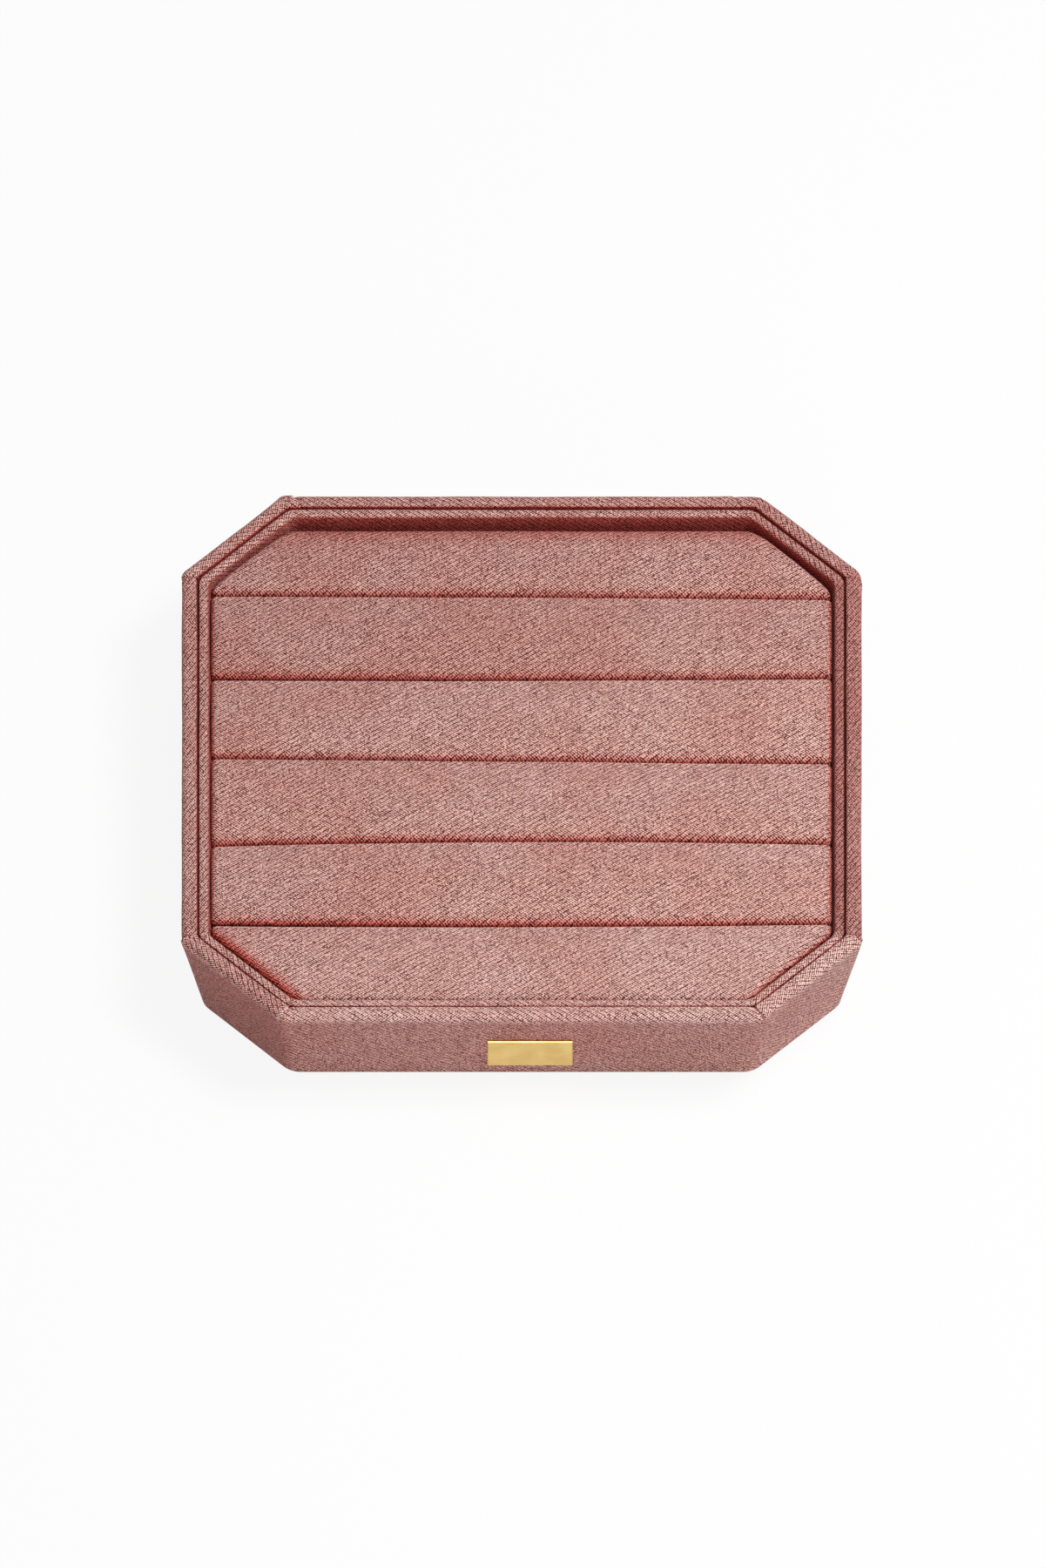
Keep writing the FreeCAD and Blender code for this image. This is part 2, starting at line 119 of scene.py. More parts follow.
class NodeTree:
    """A short way to add and join the nodes of a material or a geometry tree."""

    def __init__(self, tree: bpy.types.NodeTree) -> None:
        """Keeps the tree that nodes are added to."""
        self.tree = tree

    def add(self, kind: str, inputs: dict | None = None, **settings: object) -> bpy.types.Node:
        """Adds a node, sets it up and feeds its inputs.

        Args:
            kind: the node's type name.
            inputs: socket name or number to a value or to another node's output socket.
            settings: the node's own options.

        Returns:
            The new node.
        """
        node = self.tree.nodes.new(kind)
        for name, value in settings.items():
            setattr(node, name, value)
        self.feed(node, inputs or {})
        return node

    def feed(self, node: bpy.types.Node, inputs: dict) -> None:
        """Sets a node's inputs or links output sockets to them.

        Args:
            node: the node.
            inputs: socket name or number to a value or to another node's output socket.
        """
        for key, value in inputs.items():
            if isinstance(value, Socket):
                self.tree.links.new(value, node.inputs[key])
            else:
                node.inputs[key].default_value = value

    def math(self, operation: str, *values: object, clamp: bool = False) -> Socket:
        """Adds a Math node.

        Args:
            operation: the node's operation.
            values: numbers or output sockets, in order.
            clamp: whether the result is kept between 0 and 1.

        Returns:
            The node's output.
        """
        inputs = dict(enumerate(values))
        return self.add("ShaderNodeMath", inputs, operation=operation, use_clamp=clamp).outputs[0]

    def vector(self, operation: str, *values: object) -> Socket:
        """Adds a Vector Math node, with vectors or output sockets in order."""
        return self.add("ShaderNodeVectorMath", dict(enumerate(values)), operation=operation).outputs[0]

    def blend(self, factor: object, low: object, high: object) -> Socket:
        """Mixes two numbers, the first alone at a factor of 0 and the second alone at 1."""
        return self.add("ShaderNodeMix", {0: factor, 2: low, 3: high}, data_type="FLOAT").outputs[0]

    def paint(self, factor: object, low: object, high: object, mode: str = "MIX") -> Socket:
        """Mixes two colours.

        Args:
            factor: how much of the second colour is used.
            low: the first colour or output socket.
            high: the second colour or output socket.
            mode: the way they are mixed.

        Returns:
            The mixed colour's output.
        """
        first, second = ((*value, 1.0) if isinstance(value, tuple) else value for value in (low, high))
        inputs = {0: factor, 6: first, 7: second}
        return self.add("ShaderNodeMix", inputs, data_type="RGBA", blend_type=mode).outputs[2]

    def noise(self, where: object, scale: float, detail: float = 2.0, **inputs: float) -> Socket:
        """Adds a noise texture.

        Args:
            where: the coordinate's output socket.
            scale: patches per unit of that coordinate.
            detail: how many finer layers it has.
            inputs: other socket values.

        Returns:
            The noise, about 0.5 on average.
        """
        sockets = {"Vector": where, "Scale": scale, "Detail": detail, **inputs}
        return self.add("ShaderNodeTexNoise", sockets).outputs[0]

    def spread(self, value: object, start: Pair, to: Pair = (0.0, 1.0)) -> Socket:
        """Stretches a number from one range to another, smoothly and within limits.

        Args:
            value: the number's output socket.
            start: the values that become the new limits.
            to: the new limits.

        Returns:
            The stretched number.
        """
        sockets = {"Value": value, "From Min": start[0], "From Max": start[1]}
        sockets |= {"To Min": to[0], "To Max": to[1]}
        return self.add("ShaderNodeMapRange", sockets, interpolation_type="SMOOTHSTEP").outputs[0]

    def attribute(self, name: str) -> Socket:
        """Reads what a piece's mesh holds at each point, in a material."""
        return self.add("ShaderNodeAttribute", attribute_name=name).outputs["Fac"]

    def bump(self, height: Socket, distance: float, strength: float) -> Socket:
        """Turns a height into a normal; the distance is in metres."""
        sockets = {"Height": height, "Distance": distance, "Strength": strength}
        return self.add("ShaderNodeBump", sockets).outputs[0]


def new_material(name: str) -> tuple[Material, NodeTree, bpy.types.Node]:
    """Makes a material with an empty Principled shader.

    Args:
        name: the material's name.

    Returns:
        The material, its nodes and the shader.
    """
    material = bpy.data.materials.new(name)
    material.use_nodes = True
    tree = NodeTree(material.node_tree)
    return material, tree, material.node_tree.nodes["Principled BSDF"]


@dataclass(frozen=True)
class TwillFinish:
    """Brushed cotton twill: slanting ribs two yarns wide, crossed into small floats of heathered colour.

    The weave and its flecks are in millimetres on the cloth's own map, patches and relief in metres. Painted
    shade and painted light come into its colour from each mesh's attributes.
    """

    name: str = "rose_twill_cloth"
    next_float: Pair = (0.56, 0.375)
    next_rib: Pair = (-1.12, 0.88)
    float_depth: float = 1.5
    yarn_depth: float = 1.1
    rib_depth: float = 0.75
    wander: float = 0.2
    wanders_per_mm: float = 0.8
    heather: float = 0.6
    fleck: float = 1.9
    fleck_size: Pair = (0.25, 0.29)
    deep_yarn: Colour = (0.325, 0.1, 0.082)
    yarn: Colour = (0.48, 0.198, 0.166)
    pale_yarn: Colour = (0.95, 0.64, 0.575)
    gap: Colour = (0.105, 0.023, 0.018)
    blush: Colour = (0.90, 0.64, 0.62)
    # Painted shade in creases and gaps, red and then nearly black, and painted shade and light laid on as
    # the lie of the pile.
    red_crease_shade: Colour = (0.81, 0.22, 0.18)
    black_crease_shade: Colour = (0.17, 0.08, 0.08)
    deep_nap_shade: Colour = (0.64, 0.45, 0.44)
    pale_nap_light: Colour = (0.90, 0.69, 0.63)
    gap_tones: Pair = (-0.1, 0.3)
    yarn_tones: Pair = (0.15, 0.55)
    pale_tones: Pair = (0.5, 1.05)
    nap_patch: float = 0.03
    patch_edges: Pair = (0.34, 0.68)
    patch_strength: float = 0.45
    fibres_per_metre: float = 2600.0
    fibre_depth: float = 0.6
    relief: float = 0.00004
    bump: float = 0.8
    height_limits: Pair = (-0.7, 0.7)
    roughness: Pair = (0.98, 0.86)
    specular: float = 0.15
    sheen: float = 0.1
    sheen_roughness: float = 0.45
    sheen_tint: Colour = (1.0, 0.8, 0.77)

    def weave(self, tree: NodeTree) -> tuple[Socket, Socket, Socket]:
        """Lays out the floats of the twill on the cloth's own map.

        Args:
            tree: the nodes of the material.

        Returns:
            The yarn's height, a random number for each float and one for each fleck.
        """
        cloth = tree.add("ShaderNodeUVMap", uv_map=CLOTH_UV).outputs[0]
        sockets = {"Vector": cloth, "Scale": self.wanders_per_mm, "Detail": 1.0}
        drift = tree.add("ShaderNodeTexNoise", sockets).outputs[1]
        drift = tree.vector("SUBTRACT", drift, (0.5, 0.5, 0.5))
        moved = tree.vector("MULTIPLY_ADD", drift, (2 * self.wander, 2 * self.wander, 0.0), cloth)
        x, y = tree.add("ShaderNodeSeparateXYZ", {0: moved}).outputs[:2]
        (ax, ay), (bx, by) = self.next_float, self.next_rib
        whole = ax * by - ay * bx
        along = tree.math("MULTIPLY_ADD", y, -bx / whole, tree.math("MULTIPLY", x, by / whole))
        across = tree.math("MULTIPLY_ADD", y, ax / whole, tree.math("MULTIPLY", x, -ay / whole))
        yarns = tree.math("MULTIPLY", across, 2.0)
        chances = []
        for place in (across, yarns):
            numbers = {0: tree.math("FLOOR", along), 1: tree.math("FLOOR", place)}
            floats = tree.add("ShaderNodeCombineXYZ", numbers).outputs[0]
            chances.append(tree.add("ShaderNodeTexWhiteNoise", {"Vector": floats}).outputs[0])
        uneven, chance = chances
        rib = tree.math("MULTIPLY", uneven, 2 * self.rib_depth)
        height = 0.0
        for place, depth in ((along, self.float_depth), (yarns, self.yarn_depth), (across, rib)):
            wave = tree.math("COSINE", tree.math("MULTIPLY", place, 2 * math.pi))
            height = tree.math("MULTIPLY_ADD", tree.math("MULTIPLY", wave, -0.5), depth, height)
        flecks = tree.vector("MULTIPLY", moved, (1 / self.fleck_size[0], 1 / self.fleck_size[1], 1.0))
        flecks = tree.vector("FLOOR", flecks)
        fleck = tree.add("ShaderNodeTexWhiteNoise", {"Vector": flecks}).outputs[0]
        return height, chance, fleck

    def material(self) -> Material:
        """Makes the cloth's material.

        Returns:
            A material that reads the piece's cloth map and its attributes of painted shade and of painted
            light and shade.
        """
        material, tree, shader = new_material(self.name)
        height, chance, fleck = self.weave(tree)
        where = tree.add("ShaderNodeTexCoord").outputs["Object"]
        tone = tree.math("MULTIPLY_ADD", chance, self.heather, 0.5 - (self.heather + self.fleck) / 2)
        tone = tree.math("MULTIPLY_ADD", fleck, self.fleck, tone)
        tone = tree.math("ADD", height, tone)
        colour = tree.paint(tree.spread(tone, self.yarn_tones), self.deep_yarn, self.yarn)
        colour = tree.paint(tree.spread(tone, self.pale_tones), colour, self.pale_yarn)
        patches = tree.noise(where, 1 / self.nap_patch, 3.0)
        patches = tree.spread(patches, self.patch_edges, (0.0, self.patch_strength))
        colour = tree.paint(patches, colour, self.blush, "MULTIPLY")
        # Painted light and shade from the mesh, deeper or paler.
        nap_and_light = tree.attribute(NAP_AND_LIGHT)
        deep, pale = (tree.math("MULTIPLY", nap_and_light, sign, clamp=True) for sign in (-1.0, 1.0))
        colour = tree.paint(deep, colour, self.deep_nap_shade, "MULTIPLY")
        colour = tree.paint(pale, colour, self.pale_nap_light)
        colour = tree.paint(tree.spread(tone, self.gap_tones), self.gap, colour)
        # Painted shade: red in a crease or gap, then nearly black where it is deepest.
        crease = tree.attribute(PAINTED_SHADE)
        red = tree.math("MULTIPLY", crease, 1 / RED_SHADE, clamp=True)
        colour = tree.paint(red, colour, self.red_crease_shade, "MULTIPLY")
        steep = 1 / (DEEPEST_SHADE - RED_SHADE)
        depth = tree.math("MULTIPLY_ADD", crease, steep, -RED_SHADE * steep, clamp=True)
        colour = tree.paint(depth, colour, self.black_crease_shade, "MULTIPLY")
        fibre = tree.noise(where, self.fibres_per_metre)
        relief = tree.math("MULTIPLY_ADD", fibre, self.fibre_depth, height)
        inputs = {
            "Base Color": colour,
            "Roughness": tree.spread(height, self.height_limits, self.roughness),
            "Specular IOR Level": self.specular,
            "Sheen Weight": self.sheen,
            "Sheen Roughness": self.sheen_roughness,
            "Sheen Tint": (*self.sheen_tint, 1.0),
            "Normal": tree.bump(relief, self.relief, self.bump),
        }
        tree.feed(shader, inputs)
        return material


@dataclass(frozen=True)
class BrassFinish:
    """Satin brass plate with fine lines along its length and slight cloudiness; its relief is in metres."""

    name: str = "satin_brass"
    metal: Colour = (0.80, 0.57, 0.205)
    shade: Colour = (0.70, 0.46, 0.14)
    lines_per_metre: Place = (60.0, 5200.0, 5200.0)
    line_edges: Pair = (0.3, 0.7)
    clouds_per_metre: float = 140.0
    cloud_edges: Pair = (0.3, 0.75)
    roughness: Pair = (0.22, 0.36)
    relief: float = 0.00002
    bump: float = 0.25

    def material(self) -> Material:
        """Makes the plate's material.

        Returns:
            A brushed metal.
        """
        material, tree, shader = new_material(self.name)
        where = tree.add("ShaderNodeTexCoord").outputs["Object"]
        lines = tree.add("ShaderNodeMapping", {"Vector": where, "Scale": self.lines_per_metre}).outputs[0]
        brushed = tree.noise(lines, 1.0, 3.0)
        cloudy = tree.spread(tree.noise(where, self.clouds_per_metre), self.cloud_edges)
        inputs = {
            "Base Color": tree.paint(cloudy, self.metal, self.shade),
            "Roughness": tree.spread(brushed, self.line_edges, self.roughness),
            "Metallic": 1.0,
            "Normal": tree.bump(brushed, self.relief, self.bump),
        }
        tree.feed(shader, inputs)
        return material


@dataclass(frozen=True)
class FibreFinish:
    """Pressed or felted fibres: board, card and felt. Specks and relief are in metres."""

    name: str
    pale: Colour
    dark: Colour
    speck: float
    rough: float = 0.92
    smooth: float = 0.8
    relief: float = 0.00006
    bump: float = 0.7
    specular: float = 0.2
    clouds_per_metre: float = 30.0
    fibre_share: float = 0.7
    fibre_edges: Pair = (0.3, 0.7)
    tone_edges: Pair = (0.35, 0.65)

    def material(self) -> Material:
        """Makes the material of pressed or felted fibres.

        Returns:
            A dull material with specks and faint clouds.
        """
        material, tree, shader = new_material(self.name)
        where = tree.add("ShaderNodeTexCoord").outputs["Object"]
        fibres = tree.noise(where, 1 / self.speck, 5.0, Distortion=1.5)
        clouds = tree.math("MULTIPLY", tree.noise(where, self.clouds_per_metre), 1 - self.fibre_share)
        mixed = tree.math("MULTIPLY_ADD", fibres, self.fibre_share, clouds)
        inputs = {
            "Base Color": tree.paint(tree.spread(mixed, self.tone_edges), self.dark, self.pale),
            "Roughness": tree.spread(fibres, self.fibre_edges, (self.rough, self.smooth)),
            "Specular IOR Level": self.specular,
            "Normal": tree.bump(fibres, self.relief, self.bump),
        }
        tree.feed(shader, inputs)
        return material


RAW_BOARD = FibreFinish("raw_board", (0.46, 0.31, 0.19), (0.3, 0.185, 0.1), speck=0.0012)
GREY_CARD = FibreFinish("grey_card", (0.36, 0.34, 0.31), (0.25, 0.235, 0.21), speck=0.0009)
SHORT_FELT = FibreFinish(
    "short_felt", (0.23, 0.1, 0.09), (0.13, 0.05, 0.045), speck=0.0007, rough=0.98, relief=0.0002
)


@dataclass
class Finishes:
    """Every finish of the tray, made once."""

    twill: Material = field(default_factory=TwillFinish().material)
    brass: Material = field(default_factory=BrassFinish().material)
    board: Material = field(default_factory=RAW_BOARD.material)
    card: Material = field(default_factory=GREY_CARD.material)
    felt: Material = field(default_factory=SHORT_FELT.material)


def link_piece(name: str, mesh: bpy.types.Mesh) -> Piece:
    """Puts a mesh into the scene as a piece at the origin, smooth all over.

    Args:
        name: the piece's name.
        mesh: its shape.

    Returns:
        The piece.
    """
    piece = bpy.data.objects.new(name, mesh)
    bpy.context.scene.collection.objects.link(piece)
    mesh.shade_smooth()
    return piece


def plain_mesh(piece: Piece) -> None:
    """Replaces a piece's mesh with its evaluated shape and removes its modifiers.

    Args:
        piece: the piece.
    """
    bpy.context.view_layer.update()
    graph = bpy.context.evaluated_depsgraph_get()
    shaped = bpy.data.meshes.new_from_object(piece.evaluated_get(graph))
    piece.modifiers.clear()
    worn = piece.data
    piece.data = shaped
    shaped.name = piece.name
    bpy.data.meshes.remove(worn)


def points_of(mesh: bpy.types.Mesh) -> np.ndarray:
    """Reads the places of a mesh's points.

    Args:
        mesh: the mesh.

    Returns:
        One row of three numbers for each point, in metres.
    """
    places = np.zeros(len(mesh.vertices) * 3, np.float32)
    mesh.vertices.foreach_get("co", places)
    return places.reshape(-1, 3)


def finish_piece(piece: Piece, body: Body, slot: Slot, *nodes: str) -> None:
    """Makes a piece ride on its body and stand for CAD nodes, and reports it.

    Args:
        piece: the finished piece.
        body: the body that it moves with.
        slot: not used.
        nodes: the CAD nodes that it stands for.
    """
    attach(piece, body.value)
    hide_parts(*nodes)
    faces = len(piece.data.polygons)
    LOG.info("%s on %s: %d faces, for %s", piece.name, body.value, faces, ", ".join(nodes))


class GridMesh:
    """Points, faces, a cloth map and point attributes on their way to becoming a mesh."""

    def __init__(self) -> None:
        """Starts with nothing."""
        self.points: list[np.ndarray] = []
        self.faces: list[tuple[int, ...]] = []
        self.maps: list[tuple[Pair, ...]] = []
        self.values: dict[str, list[np.ndarray]] = {SLACK: [], PAINTED_SHADE: [], NAP_AND_LIGHT: []}
        self.count = 0

    def add_points(
        self, points: np.ndarray, slack: Values = 0.0, crease: Values = 0.0, nap_and_light: Values = 0.0
    ) -> np.ndarray:
        """Adds points in millimetres.

        Args:
            points: one row of three numbers for each point.
            slack: how free the cloth is, for all points or each of them.
            crease: how much painted shade of a crease or gap they take.
            nap_and_light: their painted light and shade, laid on as the lie of the pile, from -1 for deep to
                1 for pale.

        Returns:
            The numbers of the new points.
        """
        self.points.append(points)
        for key, value in ((SLACK, slack), (PAINTED_SHADE, crease), (NAP_AND_LIGHT, nap_and_light)):
            self.values[key].append(np.broadcast_to(value, len(points)))
        first = self.count
        self.count += len(points)
        return np.arange(first, self.count)

    def add_face(self, corners: tuple[int, ...], spots: tuple[Pair, ...]) -> None:
        """Adds a face with the places of its corners on the cloth."""
        self.faces.append(corners)
        self.maps.append(spots)

    def add_grid(
        self, numbers: np.ndarray, spots: np.ndarray, closed: bool = False, flipped: bool = False
    ) -> None:
        """Adds a face between every four neighbours in a grid of points.

        Args:
            numbers: the points' numbers, in rows.
            spots: the points' places on the cloth, in the same rows.
            closed: whether each row's end joins its start.
            flipped: whether the faces are turned over.
        """
        rows, columns = numbers.shape
        for j in range(rows - 1):
            for i in range(columns if closed else columns - 1):
                k = (i + 1) % columns
                corners = ((j, i), (j, k), (j + 1, k), (j + 1, i))
                if flipped:
                    corners = ((j, k), (j, i), (j + 1, i), (j + 1, k))
                self.add_face(tuple(numbers[c] for c in corners), tuple(tuple(spots[c]) for c in corners))

    def mesh(self, name: str) -> bpy.types.Mesh:
        """Makes the mesh in metres, with its faces pointing outwards.

        Args:
            name: the mesh's name.

        Returns:
            The mesh, with its cloth map and attributes.
        """
        points = np.concatenate(self.points)
        if self.volume(points) < 0:
            self.faces = [face[::-1] for face in self.faces]
            self.maps = [spots[::-1] for spots in self.maps]
        mesh = bpy.data.meshes.new(name)
        mesh.from_pydata((points * MM).tolist(), [], [tuple(map(int, face)) for face in self.faces])
        layer = mesh.uv_layers.new(name=CLOTH_UV)
        spots = [spot for face in self.maps for spot in face]
        layer.data.foreach_set("uv", np.array(spots, np.float32).ravel())
        for key, values in self.values.items():
            attribute = mesh.attributes.new(key, "FLOAT", "POINT")
            attribute.data.foreach_set("value", np.concatenate(values).astype(np.float32))
        mesh.validate()
        return mesh

    def volume(self, points: np.ndarray) -> float:
        """Measures the volume inside the faces.

        Args:
            points: the places of all points.

        Returns:
            The volume, negative if the faces point inwards.
        """
        total = 0.0
        for face in self.faces:
            first = points[face[0]]
            for second, third in zip(face[1:-1], face[2:]):
                total += float(np.dot(first, np.cross(points[second], points[third])))
        return total / 6


def rounded_path(corners: list[Pair], radii: list[float], step: float) -> np.ndarray:
    """A path through corners, with each inner corner rounded and points about a step apart.

    Args:
        corners: the sharp path.
        radii: one radius for each corner; the ends' are ignored.
        step: the distance between points on the straights.

    Returns:
        One row of two numbers for each point.
    """
    points = [np.array(corner, float) for corner in corners]
    made = [points[0]]
    for i in range(1, len(points) - 1):
        back = (points[i - 1] - points[i]) / np.linalg.norm(points[i - 1] - points[i])
        on = (points[i + 1] - points[i]) / np.linalg.norm(points[i + 1] - points[i])
        half = math.acos(float(np.clip(np.dot(back, on), -1, 1))) / 2
        reach = radii[i] / math.tan(half)
        middle = points[i] + (back + on) / np.linalg.norm(back + on) * radii[i] / math.sin(half)
        start, end = points[i] + back * reach, points[i] + on * reach
        angles = [math.atan2(*(spot - middle)[::-1]) for spot in (start, end)]
        sweep = (angles[1] - angles[0] + math.pi) % (2 * math.pi) - math.pi
        for share in np.linspace(0, 1, max(3, math.ceil(abs(sweep) * radii[i] / ARC_STEP))):
            angle = angles[0] + sweep * share
            made.append(middle + radii[i] * np.array([math.cos(angle), math.sin(angle)]))
    made.append(points[-1])
    filled = [made[0]]
    for spot in made[1:]:
        pieces = max(1, math.ceil(np.linalg.norm(spot - filled[-1]) / step))
        start = filled[-1]
        filled += [start + (spot - start) * k / pieces for k in range(1, pieces + 1)]
    return np.array(filled)


def closed_section(skin: np.ndarray, under: np.ndarray) -> tuple[np.ndarray, np.ndarray]:
    """Joins the two sides of a cloth's section.

    Args:
        skin: inset and height of each point on the side that shows.
        under: the same on the hidden side, going back.

    Returns:
        The closed section and its slack: 1 where the cloth shows and 0 where it doesn't.
    """
    slack = np.concatenate([np.ones(len(skin)), np.zeros(len(under))])
    return np.concatenate([skin, under]), slack


@dataclass(frozen=True)
class TrayShape:
    """The octagon that every level of the tray follows, as in the CAD model.

    Sides count anticlockwise from the front. A corner has the number of the side before it.
    """

    width: float = 200.7
    length: float = 200.7
    height: float = 33.5
    corner_leg: float = 29.7
    base_inset: float = 7.3
    wall: float = 4.8
    felt: float = 0.8
    floor: float = 4.6

    @property
    def lean(self) -> float:
        """How far a wall moves in for each millimetre down."""
        return self.base_inset / self.height

    def leaned(self, inset: float, height: float) -> float:
        """The inset at a height of a leaning face, from its inset at the rim."""
        return inset + self.lean * (self.height - height)

    def upright(self, section: np.ndarray) -> np.ndarray:
        """The insets at the rim of the leaning faces through a section's points."""
        return section[:, 0] - self.lean * (self.height - section[:, 1])

    def reach(self, side: int, inset: float) -> float:
        """Measures from the middle to a side.

        Args:
            side: the side's number.
            inset: how far in the octagon is.

        Returns:
            The distance.
        """
        if side % 2:
            return (self.width / 2 + self.length / 2 - self.corner_leg) / math.sqrt(2) - inset
        return (self.length if side % 4 == 0 else self.width) / 2 - inset

    def span(self, side: int, inset: float, bends: np.ndarray) -> Pair:
        """Finds where a side's straight part starts and ends.

        Args:
            side: the side's number.
            inset: how far in the octagon is.
            bends: the radius of each corner.

        Returns:
            The two ends along the side, anticlockwise and measured from its middle.
        """
        before, after = (side - 1) % SIDES, (side + 1) % SIDES
        own = self.reach(side, inset) * math.cos(EIGHTH_TURN)
        start = -(self.reach(before, inset) - own) / math.sin(EIGHTH_TURN)
        end = (self.reach(after, inset) - own) / math.sin(EIGHTH_TURN)
        cut = math.tan(EIGHTH_TURN / 2)
        return start + cut * bends[before], end - cut * bends[side]

    def ring(
        self, inset: float, bends: np.ndarray, shares: list[np.ndarray], turns: np.ndarray
    ) -> np.ndarray:
        """Points round the octagon, at the same places on every level.

        Args:
            inset: how far in the octagon is.
            bends: the radius of each corner.
            shares: for each side, the places of its points from 0 to 1.
            turns: the places of the points inside a corner's bend, from 0 to 1.

        Returns:
            One row of two numbers for each point.
        """
        points = []
        for side in range(SIDES):
            angle = -math.pi / 2 + side * EIGHTH_TURN
            out = np.array([math.cos(angle), math.sin(angle)])
            on = np.array([-math.sin(angle), math.cos(angle)])
            start, end = self.span(side, inset, bends)
            base = out * self.reach(side, inset)
            points += [base + on * (start + (end - start) * share) for share in shares[side]]
            middle = base + on * end - out * bends[side]
            for share in turns:
                turned = angle + EIGHTH_TURN * share
                points.append(middle + bends[side] * np.array([math.cos(turned), math.sin(turned)]))
        return np.array(points)


@dataclass(frozen=True)
class CornerFold:
    """The tuck in the wrap where two sides meet at the rim."""

    lap: Lap
    offset: float
    slant: float
    rise: float
    tail: float
    crease: float
    # Painted light and shade of the fold: the tuck's shade, and a paler edge that is partly fraying and
    # partly a painted highlight.
    frayed_and_lit: float = 0.3
    shade: float = 0.5
    drop: float = 5.0
    crease_width: float = 0.8
    edge_start: float = -0.2
    edge_end: float = 0.3
    tuck: Pair = (-0.3, 0.4)
    fray_and_highlight: Pair = (0.6, 0.6)

    def away(self, distance: np.ndarray, outside: float) -> np.ndarray:
        """Measures how far onto the upper layer each place is.

        Args:
            distance: millimetres past the corner, anticlockwise.
            outside: 0 at the rim's inner edge and 1 at its outer edge.

        Returns:
            Millimetres from the fold's line, negative on the lower layer.
        """
        return (distance - self.offset - self.slant * outside) * self.lap.value

    def lift(self, away: np.ndarray) -> np.ndarray:
        """Works out how far the cloth stands proud.

        Args:
            away: millimetres onto the upper layer.

        Returns:
            The height, negative in the crease.
        """
        on_top = self.rise * np.exp(-np.maximum(away, 0) / self.tail)
        below = -self.crease * np.exp(-np.maximum(-away, 0) / self.crease_width)
        edge = ramp(away, self.edge_start, self.edge_end)
        edge = edge * edge * (3 - 2 * edge)
        return on_top * edge + below * (1 - edge)

    def tucked(self, away: np.ndarray) -> np.ndarray:
        """How much painted shade the crease beside the fold puts at each place."""
        place, width = self.tuck
        return self.shade * np.exp(-(((away - place) / width) ** 2))

    def worn(self, away: np.ndarray) -> np.ndarray:
        """How pale the fold's edge is at each place: partly frayed, partly a painted highlight where the
        raised edge catches the light.
        """
        place, width = self.fray_and_highlight
        return self.frayed_and_lit * np.exp(-(((away - place) / width) ** 2))


